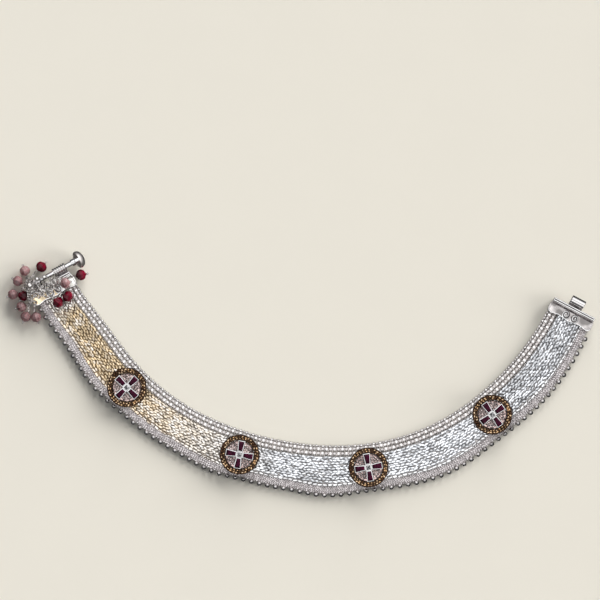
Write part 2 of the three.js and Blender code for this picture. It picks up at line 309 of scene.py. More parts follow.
def wornMetalGroup():  # polish on the high places, tarnish in patches, a fine brushed grain
    group = bpy.data.node_groups.new("worn metal", "ShaderNodeTree")
    for way, kind, names in (
        ("INPUT", "NodeSocketColor", ("Bright", "Tarnish")),
        ("INPUT", "NodeSocketFloat", ("Tarnish Share", "Patch Scale", "Smooth", "Rough")),
        ("OUTPUT", "NodeSocketColor", ("Color",)),
        ("OUTPUT", "NodeSocketFloat", ("Roughness", "Height")),
    ):
        for name in names:
            group.interface.new_socket(name, in_out=way, socket_type=kind)
    edges = {"From Min": 0.42, "From Max": 0.68}
    # the warm attribute multiplies in this tint: a painted warm reflection on the weave, its edge strips and the
    # left cap's face, and the real hue of the gold granules
    sheenAndHueTint = {"B": (0.94, 0.73, 0.46, 1)}
    entry = addNode(group, "NodeGroupInput", -900, 0)
    leave = addNode(group, "NodeGroupOutput", 700, 0)
    place = addNode(group, "ShaderNodeTexCoord", -900, 300)
    patches = addNode(group, "ShaderNodeTexNoise", -650, 300, {"Detail": 4})
    grain = addNode(group, "ShaderNodeTexNoise", -650, -250, {"Scale": 5200, "Detail": 2})
    tone = addNode(group, "ShaderNodeAttribute", -650, 560, attribute_name="tone")
    shift = addNode(group, "ShaderNodeMath", -430, 420, operation="SUBTRACT")
    band = addNode(group, "ShaderNodeMapRange", -220, 300, edges, interpolation_type="SMOOTHSTEP")
    share = addNode(group, "ShaderNodeMath", 0, 300, operation="MULTIPLY")
    mix = addNode(group, "ShaderNodeMix", 250, 250, data_type="RGBA")
    warm = addNode(group, "ShaderNodeAttribute", 250, 560, attribute_name="warm")
    toned = addNode(group, "ShaderNodeMix", 480, 250, sheenAndHueTint, data_type="RGBA", blend_type="MULTIPLY")
    gloss = addNode(group, "ShaderNodeMix", 250, -50, data_type="FLOAT")
    connect(group, (
        (place, "Object", patches, "Vector"), (place, "Object", grain, "Vector"),
        (entry, "Patch Scale", patches, "Scale"), (patches, "Fac", shift, 0), (tone, "Fac", shift, 1),
        (shift, 0, band, "Value"), (band, "Result", share, 0), (entry, "Tarnish Share", share, 1),
        (share, 0, mix, "Factor"), (entry, "Bright", mix, "A"), (entry, "Tarnish", mix, "B"),
        (share, 0, gloss, "Factor"), (entry, "Smooth", gloss, "A"), (entry, "Rough", gloss, "B"),
        (warm, "Fac", toned, "Factor"), (mix, "Result", toned, "A"), (toned, "Result", leave, "Color"),
        (gloss, "Result", leave, "Roughness"), (grain, "Fac", leave, "Height"),
    ))
    return group


wornMetal = wornMetalGroup()


def metal(name, bright, tarnish, share, patch, smooth, rough, bump=0.06):
    material, tree, shader = newMaterial(name, {"Metallic": 1})
    wear = {
        "Bright": (*bright, 1), "Tarnish": (*tarnish, 1), "Tarnish Share": share, "Patch Scale": patch,
        "Smooth": smooth, "Rough": rough,
    }
    worn = addNode(tree, "ShaderNodeGroup", -500, 100, wear, node_tree=wornMetal)
    relief = addNode(tree, "ShaderNodeBump", -250, -200, {"Strength": bump, "Distance": 0.00005})
    connect(tree, (
        (worn, "Color", shader, "Base Color"), (worn, "Roughness", shader, "Roughness"),
        (worn, "Height", relief, "Height"), (relief, "Normal", shader, "Normal"),
    ))
    return material


def glass(name, deep, light, ior, transmission, roughness, cloud, gloss=0.5, ramp=(0.35, 0.7)):
    optics = {"Transmission Weight": transmission, "IOR": ior, "Specular IOR Level": gloss}
    material, tree, shader = newMaterial(name, optics)
    finest, coarsest = roughness * 0.6, roughness * 1.6
    place = addNode(tree, "ShaderNodeTexCoord", -900, 100)
    veil = addNode(tree, "ShaderNodeTexNoise", -700, 100, {"Scale": cloud, "Detail": 3})
    colours = addNode(tree, "ShaderNodeValToRGB", -450, 150)
    setRamp(colours, list(zip(ramp, (deep, light))))
    polish = addNode(tree, "ShaderNodeMapRange", -450, -150, {"To Min": finest, "To Max": coarsest})
    connect(tree, (
        (place, "Object", veil, "Vector"), (veil, "Fac", colours, "Fac"), (veil, "Fac", polish, "Value"),
        (colours, "Color", shader, "Base Color"), (polish, "Result", shader, "Roughness"),
    ))
    return material


# bright and tarnished colour, share and scale of the tarnish, roughness of both, grain
weaveSilver = metal("weave silver", (0.87, 0.875, 0.895), (0.36, 0.36, 0.37), 0.6, 700, 0.17, 0.36)
brightSilver = metal("bright silver", (0.9, 0.89, 0.89), (0.36, 0.34, 0.34), 0.45, 420, 0.12, 0.3)
capSilver = metal("cap silver", (0.66, 0.615, 0.6), (0.11, 0.1, 0.095), 0.75, 190, 0.2, 0.4, 0.08)
# a lighter silver for the left cap's face, with a painted warm highlight from the warm attribute
warmSheenSilver = metal("silver with painted warm sheen", (0.86, 0.84, 0.8), (0.42, 0.39, 0.35), 0.6, 260, 0.16, 0.34, 0.08)
knuckleSilver = metal("knuckle silver", (0.68, 0.65, 0.64), (0.32, 0.3, 0.29), 0.35, 150, 0.12, 0.26)
trimSilver = metal("trim silver", (0.92, 0.91, 0.9), (0.5, 0.48, 0.47), 0.25, 200, 0.12, 0.26)
satinSilver = metal("satin silver", (0.88, 0.82, 0.78), (0.46, 0.41, 0.385), 0.5, 260, 0.42, 0.58)
chainSilver = metal("chain silver", (0.92, 0.88, 0.86), (0.46, 0.42, 0.41), 0.6, 650, 0.34, 0.52, 0.03)
tasselSilver = metal("tassel silver", (0.88, 0.84, 0.81), (0.2, 0.175, 0.165), 0.8, 900, 0.12, 0.3, 0.03)
ballSilver = metal("ball silver", (0.62, 0.59, 0.58), (0.1, 0.09, 0.09), 0.5, 380, 0.08, 0.2, 0.02)
meshSilver = metal("mesh silver", (0.97, 0.91, 0.905), (0.52, 0.47, 0.47), 0.7, 800, 0.24, 0.44)
darkGround = metal("dark ground", (0.54, 0.515, 0.505), (0.26, 0.24, 0.235), 0.8, 800, 0.4, 0.6, 0.2)
# near black silver for painted shade: strips under and beside the bar, grounds inside the scrolls, and the knuckle
# webs
shadeSilver = metal("painted shade silver", (0.16, 0.14, 0.14), (0.03, 0.026, 0.026), 0.8, 600, 0.3, 0.5, 0.2)
antiqueGold = metal("antique gold", (0.86, 0.65, 0.44), (0.085, 0.034, 0.018), 0.95, 380, 0.16, 0.44, 0.1)
darkGold = metal("dark gold", (0.06, 0.036, 0.022), (0.012, 0.007, 0.005), 0.8, 500, 0.32, 0.55, 0.12)
paveSilver = metal("pave silver", (0.63, 0.47, 0.435), (0.04, 0.03, 0.03), 0.95, 900, 0.22, 0.42, 0.1)
# deep and light colour, refraction, transmission, roughness, scale of the clouds, gloss, ends of the ramp
rubyStone = glass("ruby stone", (0.028, 0.001, 0.011), (0.085, 0.003, 0.03), 1.5, 0.3, 0.05, 900, 0.08)
rubyBead = glass("ruby bead", (0.085, 0.001, 0.008), (0.22, 0.003, 0.024), 1.6, 0.3, 0.05, 500, 0.06)
roseBead = glass("rose bead", (0.35, 0.18, 0.19), (0.58, 0.385, 0.39), 1.5, 0.55, 0.12, 520, 0.4)
clearStone = glass("clear stone", (0.04, 0.04, 0.045), (0.62, 0.62, 0.65), 1.9, 0.4, 0.03, 1500, ramp=(0.44, 0.62))
paveStone = glass("pave stone", (0.025, 0.014, 0.016), (0.95, 0.8, 0.79), 1.9, 0.15, 0.05, 1500, 0.4, (0.46, 0.6))
print("materials ready")


# the band's curve: x along the band, y across it towards the inside of the curve, z up

bandPath = {
    "startX": -98.7, "startY": 38.6, "heading": -61.7,
    # length and turn of each bend
    "bends": [(8.5, 0), (8, 10), (23, -2), (48, 28.5), (59, 26.5), (56, 34.5), (53, 26.5), (8.5, 0)],
    # how far the ball edge stands out, at stations along the band
    "reach": [
        (8, 8.0), (21, 8.1), (43, 9.5), (62, 8.5), (79, 8.5), (98, 9.8), (110, 9.1),
        (124, 9.2), (139, 10.4), (156, 9.0), (184, 10.5), (206, 9.2), (230, 10.0), (256, 9.2),
    ],
    "ballLine": 9.2, "inner": 4.6, "outer": -6.2, "tuck": 3.9,
}


def bandTrack():  # the centre line in steps of a tenth of a millimetre
    x, y, heading = bandPath["startX"], bandPath["startY"], math.radians(bandPath["heading"])
    rows = [(0.0, x, y, heading)]
    for length, turn in bandPath["bends"]:
        count = round(length * 10)
        run, bend = length / count, math.radians(turn) / count
        for step in range(count):
            x += run * math.cos(heading + bend / 2)
            y += run * math.sin(heading + bend / 2)
            heading += bend
            rows.append((rows[-1][0] + run, x, y, heading))
    return np.array(rows).T


track = bandTrack()
bandLength = track[0][-1]


def reachAt(station):
    marks, reaches = np.array(bandPath["reach"]).T
    after = np.clip(np.searchsorted(marks, station), 1, len(marks) - 1)
    share = np.clip((station - marks[after - 1]) / (marks[after] - marks[after - 1]), 0, 1)
    share = share * share * (3 - 2 * share)
    return reaches[after - 1] + (reaches[after] - reaches[after - 1]) * share


def headingAt(station):
    return float(np.interp(station, track[0], track[3]))


def onBand(points):
    station, across, height = np.asarray(points, float).reshape(-1, 3).T
    share = np.clip((bandPath["inner"] - across) / (bandPath["inner"] - bandPath["outer"]), 0, 1)
    side = across - (reachAt(station) - bandPath["ballLine"]) * share
    heading = np.interp(station, track[0], track[3])
    x = np.interp(station, track[0], track[1]) - side * np.sin(heading)
    y = np.interp(station, track[0], track[2]) + side * np.cos(heading)
    return np.stack((x, y, height), axis=1)


def layOnBand(piece):  # bends a straight piece along the curve
    points = np.empty(len(piece.data.vertices) * 3)
    piece.data.vertices.foreach_get("co", points)
    piece.data.vertices.foreach_set("co", onBand(points).ravel())
    piece.data.update()
    return piece


def bandPlace(station, across, height):  # where a small piece sits, turned with the band
    spot = Vector(onBand((station, across, height))[0])
    return Matrix.Translation(spot) @ Matrix.Rotation(headingAt(station), 4, "Z")


# woven centre

weave = {
    "crown": [(-6.2, 2.2), (-4.2, 2.55), (-0.8, 2.65), (2.6, 2.55), (4.6, 2.2)],  # height across the band
    "groundDrop": 0.8, "groundThick": 0.5, "groundUnder": 0.15,
    "rows": 10, "firstRow": -4.35, "rowPitch": 0.93, "grainPitch": 1.7, "start": 6.5, "sink": 0.32,
    "long": 1.14, "wide": 0.57, "thick": 0.46, "plateau": 0.6, "hammered": 0.3,
    "tailFrom": -0.45, "tailSlim": 0.72, "bellyFrom": -0.2, "belly": (0.9, 0.85, 0.7),
    "tilt": 6, "dive": 9, "spinSway": 22, "diveSway": 13, "rollSway": 16.9, "shift": 0.26, "sideShift": 0.182,
    "sizes": (0.88, 1.2), "tones": (-0.2, 0.15), "warmths": (0.6, 1.15), "leastWarm": 0.2,
    # loose patches lie a little turned and catch the light together, and are painted lighter there, a painted
    # highlight: their scale, seed and effect
    "patchScale": (0.21, 0.34), "patchSeed": 4.2,
    "patchDive": 7, "patchRoll": 14, "patchSheen": 0.3, "patchWarm": 0.45,
    # painted warm reflection towards the clasp, and lighter and darker lengths, by station
    "warm": [(0, 0.2), (12, 0.35), (20, 1.15), (50, 1.15), (78, 0.6), (120, 0)],
    "shade": [(0, -0.1), (24, -0.22), (38, -0.08), (60, 0), (78, 0.06), (128, 0), (178, 0.12), (232, -0.1)],
}


def panelTop(across):
    return between(weave["crown"], across)


def warmAt(station):
    return between(weave["warm"], station)


def weaveGround():
    length = bandLength - 2 * bandPath["tuck"]
    wide = bandPath["inner"] - bandPath["outer"]
    middle = (bandPath["inner"] + bandPath["outer"]) / 2
    piece = begin(bpy.ops.mesh.primitive_grid_add, x_subdivisions=260, y_subdivisions=8, size=1)
    for vertex in piece.data.vertices:
        across = vertex.co.y * wide + middle
        vertex.co = (vertex.co.x * length + bandLength / 2, across, panelTop(across) - weave["groundDrop"])
    useModifier(piece, "SOLIDIFY", thickness=weave["groundThick"], offset=-1)
    for vertex in piece.data.vertices:  # a flat underside
        if vertex.co.z < panelTop(vertex.co.y) - weave["groundDrop"] - 0.2:
            vertex.co.z = weave["groundUnder"]
    outward(piece)
    # painted warm reflection, as on the grains above
    mark(piece.data, "warm", [warmAt(vertex.co.x) for vertex in piece.data.vertices])
    finishPiece(layOnBand(piece), "weaveGround", darkGround, nodes=["centre_weave"])


def riceGrain():  # an oval link, fuller at its head and tucked down at its tail
    piece = sphere(1, 8, 6, (weave["long"], weave["wide"], weave["thick"]), lying=True)
    pick(piece, "VERT", lambda co: co.x < weave["tailFrom"] * weave["long"])
    resize(1, weave["tailSlim"], weave["tailSlim"])
    pick(piece, "VERT", lambda co: co.z < weave["bellyFrom"] * weave["thick"])
    resize(*weave["belly"])
    done()
    top = weave["plateau"] * weave["thick"]
    for vertex in piece.data.vertices:  # hammered flat on top
        if vertex.co.z > top:
            vertex.co.z = top + weave["hammered"] * (vertex.co.z - top)
    return piece


def weaveGrains():
    places, tones, warmth = [], [], []
    scaleAlong, scaleAcross = weave["patchScale"]
    for row in range(weave["rows"]):
        across = weave["firstRow"] + row * weave["rowPitch"]
        side = 1 if row % 2 else -1
        station = weave["start"] + (row % 2) * weave["grainPitch"] / 2
        while station < bandLength - weave["start"]:
            patch = noise.noise(Vector((station * scaleAlong, across * scaleAcross, weave["patchSeed"])))
            along = station + sway(weave["shift"])
            beside = across + sway(weave["sideShift"])
            place = bandPlace(along, beside, panelTop(beside) - weave["sink"])
            spin = turnZ(side * weave["tilt"] + sway(weave["spinSway"]))
            dive = turnY(-weave["dive"] + sway(weave["diveSway"]) + weave["patchDive"] * patch)
            roll = turnX(sway(weave["rollSway"]) + weave["patchRoll"] * patch)
            places.append(place @ spin @ dive @ roll @ Matrix.Scale(rng.uniform(*weave["sizes"]), 4))
            shade = between(weave["shade"], station)
            # random tone, a painted highlight on the patches that catch the light, and the lighter and darker
            # lengths
            tones.append(rng.uniform(*weave["tones"]) + weave["patchSheen"] * patch + shade)
            # painted warm reflection on each grain, less of it on the patches that catch the light
            warm = rng.uniform(*weave["warmths"]) - weave["patchWarm"] * patch
            warmth.append(warmAt(station) * min(1.0, max(weave["leastWarm"], warm)))
            station += weave["grainPitch"]
    piece = copies(riceGrain(), places, tones, warmth)
    finishPiece(piece, "weaveGrains", weaveSilver, smooth=80)


edgeStrip = {
    "across": -5.5, "wide": 0.92, "long": 2.0, "thick": 0.7, "edge": 0.16, "panel": 0.1, "panelRise": 0.05,
    "pitch": 1.86, "start": 5.0,
    "lift": 0.1, "lean": 9, "shift": 0.12, "spinSway": 9, "leanSway": 14, "dipSway": 11,
    "lengths": (0.8, 1), "widths": (0.7, 1.25), "tones": (-0.3, 0.25), "warmths": (0.3, 0.8),
}


def edgeStrips():  # a row of plain flat links below the weave
    link = block((edgeStrip["long"], edgeStrip["wide"], edgeStrip["thick"]), edgeStrip["edge"])
    pick(link, "FACE", facesUp)
    bpy.ops.mesh.inset(thickness=edgeStrip["panel"], depth=edgeStrip["panelRise"])
    done()
    places, tones, warmth = [], [], []
    station = edgeStrip["start"]
    while station < bandLength - edgeStrip["start"]:
        across = edgeStrip["across"] + sway(edgeStrip["shift"])
        place = bandPlace(station, across, panelTop(across) - edgeStrip["thick"] / 2 + edgeStrip["lift"])
        spin = turnZ(sway(edgeStrip["spinSway"]))
        lean = turnX(edgeStrip["lean"] + sway(edgeStrip["leanSway"]))
        turn = spin @ lean @ turnY(sway(edgeStrip["dipSway"]))
        size = (rng.uniform(*edgeStrip["lengths"]), rng.uniform(*edgeStrip["widths"]), 1, 1)
        places.append(place @ turn @ Matrix.Diagonal(size))
        tones.append(rng.uniform(*edgeStrip["tones"]))
        # painted warm reflection, as on the weave
        warmth.append(warmAt(station) * rng.uniform(*edgeStrip["warmths"]))
        station += edgeStrip["pitch"]
    piece = copies(link, places, tones, warmth)
    finishPiece(piece, "edgeStrips", brightSilver, smooth=40)


weaveGround()
weaveGrains()
edgeStrips()
print("woven centre done")


# ball chains along the inner edge

ballChains = [
    {"name": "ballChain1", "node": "chain_row_1", "across": 8.4, "height": 0.62, "radius": 0.54, "pitch": 1.35},
    {"name": "ballChain2", "node": "chain_row_2", "across": 7.4, "height": 1.55, "radius": 0.77, "pitch": 1.65},
    {"name": "ballChain3", "node": "chain_row_3", "across": 5.7, "height": 1.85, "radius": 0.77, "pitch": 1.65},
]
chainFit = {
    "start": 4.6, "alternate": 0.8, "neck": 0.45, "neckFrom": 0.9, "stretch": 1.04, "wide": 1.15, "flat": 0.66,
    "rollSway": 9, "dipSway": 5, "largeLitTones": (0.05, 0.25), "smallShadedTones": (-0.3, -0.1),
}


def ballLink(radius, pitch):  # a ball with the necks that join it to the next
    ball = sphere(radius, 12, 8, (chainFit["stretch"], chainFit["wide"], chainFit["flat"]), lying=True)
    for side in (-1, 1):
        pick(ball, "FACE", lambda co, normal: normal.x * side > 0.93)
        resize(1, chainFit["neck"], chainFit["neck"])
        extrude(x=side * (pitch / 2 - radius * chainFit["neckFrom"]))
    done()
    return ball


def ballChain(row, phase):  # every other ball is smaller
    places, tones = [], []
    count = int((bandLength - 2 * chainFit["start"]) / row["pitch"])
    for i in range(count):
        small = (i + phase) % 2
        scale = chainFit["alternate"] if small else 1.0
        place = bandPlace(chainFit["start"] + (i + 0.5) * row["pitch"], row["across"], row["height"])
        turn = turnX(sway(chainFit["rollSway"])) @ turnY(sway(chainFit["dipSway"]))
        places.append(place @ turn @ Matrix.Diagonal((1, scale, scale, 1)))
        # small balls painted darker, painted shade; large ones a little lighter, a painted highlight
        tones.append(rng.uniform(*chainFit["smallShadedTones" if small else "largeLitTones"]))
    piece = copies(ballLink(row["radius"], row["pitch"]), places, tones)
    finishPiece(piece, row["name"], chainSilver, nodes=[row["node"]], smooth=75)


chainRings = {
    "rows": ((4.9, 1.95, 5), (6.55, 1.7, 10), (7.95, 1.05, 50)),  # across, height, lean
    "radius": 0.5, "wire": 0.16, "stretch": 1.15, "spinSway": 18, "tones": (-0.15, 0.1),
}


def ringLink(settings):  # a small wire ring, lying across the band
    ring = wireRing(settings["radius"], settings["wire"], 8, 4)
    editAll()
    resize(1, settings["stretch"], 1)
    quarterTurn("Y")
    done()
    return ring


def joiningRings():
    places, tones = [], []
    pitch = ballChains[1]["pitch"]
    count = int((bandLength - 2 * chainFit["start"]) / pitch)
    for across, height, lean in chainRings["rows"]:
        for i in range(1, count):
            place = bandPlace(chainFit["start"] + i * pitch, across, height)
            places.append(place @ turnX(-lean) @ turnZ(sway(chainRings["spinSway"])))
            tones.append(rng.uniform(*chainRings["tones"]))
    piece = copies(ringLink(chainRings), places, tones)
    finishPiece(piece, "joiningRings", chainSilver, smooth=80)


for phase, row in enumerate(ballChains):
    ballChain(row, phase)
joiningRings()
print("ball chains done")


# fine mesh and hanging balls along the outer edge

meshEdge = {
    "inner": -6.3, "outer": -8.45, "backTop": (1.45, 0.7), "backUnder": (0.9, 0.25),
    # across, height, lean
    "rows": ((-6.45, 1.8, 18), (-6.95, 1.6, -20), (-7.45, 1.4, 22), (-7.95, 1.2, -18), (-8.4, 0.9, 20)),
    "pitch": 0.84, "start": 4.4, "radius": 0.37, "wire": 0.125, "stretch": 1.15,
    "slope": 15, "leanSway": 8, "rollSway": 10, "tones": (-0.25, 0.25),
}


def meshBacking():
    length = bandLength - 2 * bandPath["tuck"]
    piece = begin(bpy.ops.mesh.primitive_cube_add, size=1)
    for vertex in piece.data.vertices:
        outer = vertex.co.y < 0
        heights = meshEdge["backTop"] if vertex.co.z > 0 else meshEdge["backUnder"]
        across = meshEdge["outer"] if outer else meshEdge["inner"]
        vertex.co = (vertex.co.x * length + bandLength / 2, across, heights[1 if outer else 0])
    pick(piece, "EDGE", lambda a, b: abs(a.x - b.x) > 1)
    bpy.ops.mesh.subdivide(number_cuts=199)
    done()
    return layOnBand(piece)


def meshRings():
    places, tones = [], []
    for row, (across, height, lean) in enumerate(meshEdge["rows"]):
        station = meshEdge["start"] + (row % 2) * meshEdge["pitch"] / 2
        while station < bandLength - meshEdge["start"]:
            place = bandPlace(station, across, height) @ turnX(meshEdge["slope"])
            turned = place @ turnY(90 + lean + sway(meshEdge["leanSway"]))
            places.append(turned @ turnX(sway(meshEdge["rollSway"])))
            tones.append(rng.uniform(*meshEdge["tones"]))
            station += meshEdge["pitch"]
    return copies(ringLink(meshEdge), places, tones)


hangingBalls = {
    "size": 0.92, "seam": 0.08, "seamRise": 0.03, "collar": 0.12,
    "across": -9.4, "pitch": 3, "first": 9.9, "last": 253.9, "spinSway": 14, "tones": (-0.1, 0.15),
    "radius": 0.34, "wire": 0.12, "stretch": 1.2,  # of the ring that each ball hangs on
    "ringAcross": -8.35, "ringHeight": 0.95, "ringLean": 20, "ringSway": 12,
}


def hangingBall():  # a hollow ball with a raised seam and a collar where its ring goes in
    ball = sphere(hangingBalls["size"], 16, 11)
    pick(ball, "FACE", lambda co, normal: abs(co.z) < hangingBalls["seam"] * hangingBalls["size"])
    bpy.ops.mesh.inset(thickness=hangingBalls["seamRise"], depth=hangingBalls["seamRise"])
    editAll()
    quarterTurn("X")
    pick(ball, "FACE", lambda co, normal: normal.y > 0.97)
    extrude(y=hangingBalls["collar"])
    done()
    return ball


def hangBalls():
    balls, rings = [], []
    count = int((hangingBalls["last"] - hangingBalls["first"]) / hangingBalls["pitch"]) + 1
    for i in range(count):
        station = hangingBalls["first"] + i * hangingBalls["pitch"]
        place = bandPlace(station, hangingBalls["across"], hangingBalls["size"])
        balls.append(place @ turnZ(sway(hangingBalls["spinSway"])))
        ringPlace = bandPlace(station, hangingBalls["ringAcross"], hangingBalls["ringHeight"])
        rings.append(ringPlace @ turnX(-hangingBalls["ringLean"]) @ turnZ(sway(hangingBalls["ringSway"])))
    piece = joined([
        copies(hangingBall(), balls, randomFor(balls, hangingBalls["tones"])),
        copies(ringLink(hangingBalls), rings),
    ])
    finishPiece(piece, "hangingBalls", ballSilver, smooth=50)


finishPiece(meshRings(), "fineMesh", meshSilver, nodes=["beaded_edge"], smooth=80)
finishPiece(meshBacking(), "meshBacking", darkGround)
hangBalls()
print("outer edge done")


# medallions

medallions = [(53.4, 0), (104.9, 7), (155.6, 2), (208.6, -3)]  # station and tilt
medallion = {"across": -0.3, "base": 2.95}
ropeRing = {
    "outer": 7.75, "inner": 5.75, "low": 0.02, "shelf": 0.85, "rim": 1.2,
    "ropes": ((7.02, 36, 0.62, 18), (6.28, 33, 0.5, -24)),  # radius, count, size, lean
    "slim": 0.58, "tall": 0.8, "under": -0.15, "underFlat": (0.9, 0.9, 0.5), "lift": 0.3,
    "spacing": 0.15, "shift": 0.1, "spinSway": 35, "rollSway": 30,
    "sizes": (0.72, 1.15), "tones": (-0.3, 0.4), "warmths": (0, 0.7),
    "beadRows": ((7.52, 0.2), (5.9, 0.15)), "beadPitch": 2.3, "beadFlat": 0.8, "beadTones": (-0.5, -0.1),
}


def ringBody():  # a shallow channel between an outer and an inner lip
    r = ropeRing
    return lathe(
        [
            (r["inner"], r["low"]), (r["outer"] - 0.15, r["low"]), (r["outer"], 0.35), (r["outer"], 0.8),
            (r["outer"] - 0.18, r["rim"]), (r["outer"] - 0.42, r["rim"]), (r["outer"] - 0.6, r["shelf"]),
            (r["inner"] + 0.5, r["shelf"]), (r["inner"] + 0.36, r["rim"]), (r["inner"] + 0.12, r["rim"]),
            (r["inner"], r["rim"] - 0.15), (r["inner"], r["low"]),
        ],
        56,
    )


def ropeGranules():  # two rows of uneven granules that lean against each other
    grain = sphere(1, 10, 7, (1, ropeRing["slim"], ropeRing["tall"]), lying=True)
    pick(grain, "VERT", lambda co: co.z < ropeRing["under"])
    resize(*ropeRing["underFlat"])
    done()
    places = []
    height = ropeRing["shelf"] + ropeRing["lift"]
    for radius, count, size, lean in ropeRing["ropes"]:
        for i in range(count):
            around = turnZ(360 * (i + sway(ropeRing["spacing"])) / count)
            spot = Matrix.Translation((radius + sway(ropeRing["shift"]), 0, height))
            turn = turnZ(90 + lean + sway(ropeRing["spinSway"])) @ turnX(sway(ropeRing["rollSway"]))
            places.append(around @ spot @ turn @ Matrix.Scale(size * rng.uniform(*ropeRing["sizes"]), 4))
    tones = randomFor(places, ropeRing["tones"])
    return copies(grain, places, tones, randomFor(places, ropeRing["warmths"]))


def lipBeads():  # fine milled beads along both lips
    bead = sphere(1, 6, 4, (1, 1, ropeRing["beadFlat"]))
    places = []
    for radius, size in ropeRing["beadRows"]:
        count = int(math.tau * radius / (ropeRing["beadPitch"] * size))
        for i in range(count):
            spot = Matrix.Translation((radius, 0, ropeRing["rim"]))
            places.append(turnZ(360 * i / count) @ spot @ Matrix.Scale(size, 4))
    return copies(bead, places, randomFor(places, ropeRing["beadTones"]))


plate = {
    "radius": 5.5, "top": 0.8, "bezelTop": 1.45, "wall": 0.3, "gap": 0.06, "pocket": 0.75, "sunk": 0.2,
    "lip": ((0.06, 0.06), (0.12, 0.05), (0.08, -0.03)),  # width and rise of each step of a bezel's lip
}
baguette = {"inner": 1.55, "outer": 5.14, "narrow": 1.4, "wide": 2.15}
squareSide = 1.6
gem = {
    "margin": 0.04, "base": 1.2, "girdle": 0.16, "keel": 0.32, "keelShrink": (0.7, 0.45),
    "crown": ((0.22, 0.86), (0.22, 0.78)),  # rise and shrink of each step
}


def outlinePiece(corners, height):  # a flat face with these corners
    piece = begin(bpy.ops.mesh.primitive_plane_add, size=1)
    around = sorted(piece.data.vertices, key=lambda vertex: math.atan2(vertex.co.y, vertex.co.x))
    for vertex, (x, y) in zip(around, corners):
        vertex.co = (x, y, height)
    return piece


def armCorners(margin):
    inner, outer = baguette["inner"] - margin, baguette["outer"] + margin
    narrow, wide = baguette["narrow"] / 2 + margin, baguette["wide"] / 2 + margin
    return [(inner, -narrow), (outer, -wide), (outer, wide), (inner, narrow)]


def squareCorners(margin):
    half = squareSide / 2 + margin
    return [(-half, -half), (half, -half), (half, half), (-half, half)]


def fourArms(make):
    return [moved(make(armCorners), turnZ(90 * arm)) for arm in range(4)]


def bezel(corners):  # a low wall round a stone, with a ridge along its lip
    piece = outlinePiece(corners(plate["wall"] + plate["gap"]), plate["top"] - plate["sunk"])
    editAll()
    extrude(z=plate["bezelTop"] - plate["top"] + plate["sunk"])
    pick(piece, "FACE", lambda co, normal: co.z > plate["bezelTop"] - 0.01)
    for thickness, depth in plate["lip"]:
        bpy.ops.mesh.inset(thickness=thickness, depth=depth)
    extrude(z=-(plate["bezelTop"] - plate["pocket"]))
    done()
    outward(piece)
    return piece


def stepStone(corners):  # table, two crown steps, girdle and a pavilion keel
    piece = outlinePiece(corners(gem["margin"]), gem["base"])
    centre = sum((Vector((x, y, 0)) for x, y in corners(0)), Vector()) / 4
    editAll()
    extrude(z=gem["girdle"])
    for rise, shrink in gem["crown"]:
        extrude(z=rise)
        resize(shrink, shrink, 1, centre)
    done()
    pick(piece, "FACE", lambda co, normal: co.z < gem["base"] + 0.01)
    extrude(z=-gem["keel"])
    resize(*gem["keelShrink"], 1, centre)
    done()
    outward(piece)
    return piece


def plateBody():
    radius, top = plate["radius"], plate["top"]
    return lathe(
        [(0, 0), (radius, 0), (radius, top), (radius - 0.2, top + 0.14), (radius - 0.4, top), (0, top)], 48,
    )


pave = {
    "rows": 6, "pitch": 0.84, "first": 1.25, "fan": 0.104, "edge": 0.75,
    "stone": 0.42, "girdle": 0.2, "crown": 0.16, "table": 0.58, "lift": 0.08, "leanSway": 14, "spin": 45,
    "claw": 0.14, "clawTall": 1.4, "clawLift": 0.16, "clawTone": 0.2,
}


def paveGrid(start):  # rows that fan out beside the arms, in each quarter of the plate
    spots = []
    for quarter in range(4):
        for i in range(pave["rows"]):
            for j in range(pave["rows"]):
                x, y = start + i * pave["pitch"], start + j * pave["pitch"]
                spot = Vector((x + pave["fan"] * y, y + pave["fan"] * x, plate["top"]))
                if spot.to_2d().length < plate["radius"] - pave["edge"]:
                    spots.append(Matrix.Translation(turnZ(90 * quarter) @ spot))
    return spots


def paveStones():  # a small round stone: table, crown facets and girdle
    stone = begin(bpy.ops.mesh.primitive_cylinder_add, vertices=8, radius=pave["stone"], depth=pave["girdle"])
    pick(stone, "FACE", facesUp)
    extrude(z=pave["crown"])
    resize(pave["table"], pave["table"], 1)
    done()
    raised = Matrix.Translation((0, 0, pave["lift"]))
    places = []
    for spot in paveGrid(pave["first"]):
        lean = turnX(sway(pave["leanSway"])) @ turnY(sway(pave["leanSway"]))
        places.append(spot @ raised @ turnZ(rng.uniform(0, pave["spin"])) @ lean)
    return copies(stone, places)


def paveClaws():
    claw = sphere(pave["claw"], 6, 4, (1, 1, pave["clawTall"]))
    raised = Matrix.Translation((0, 0, pave["clawLift"]))
    places = [spot @ raised for spot in paveGrid(pave["first"] + pave["pitch"] / 2)]
    return copies(claw, places, [pave["clawTone"]] * len(places))


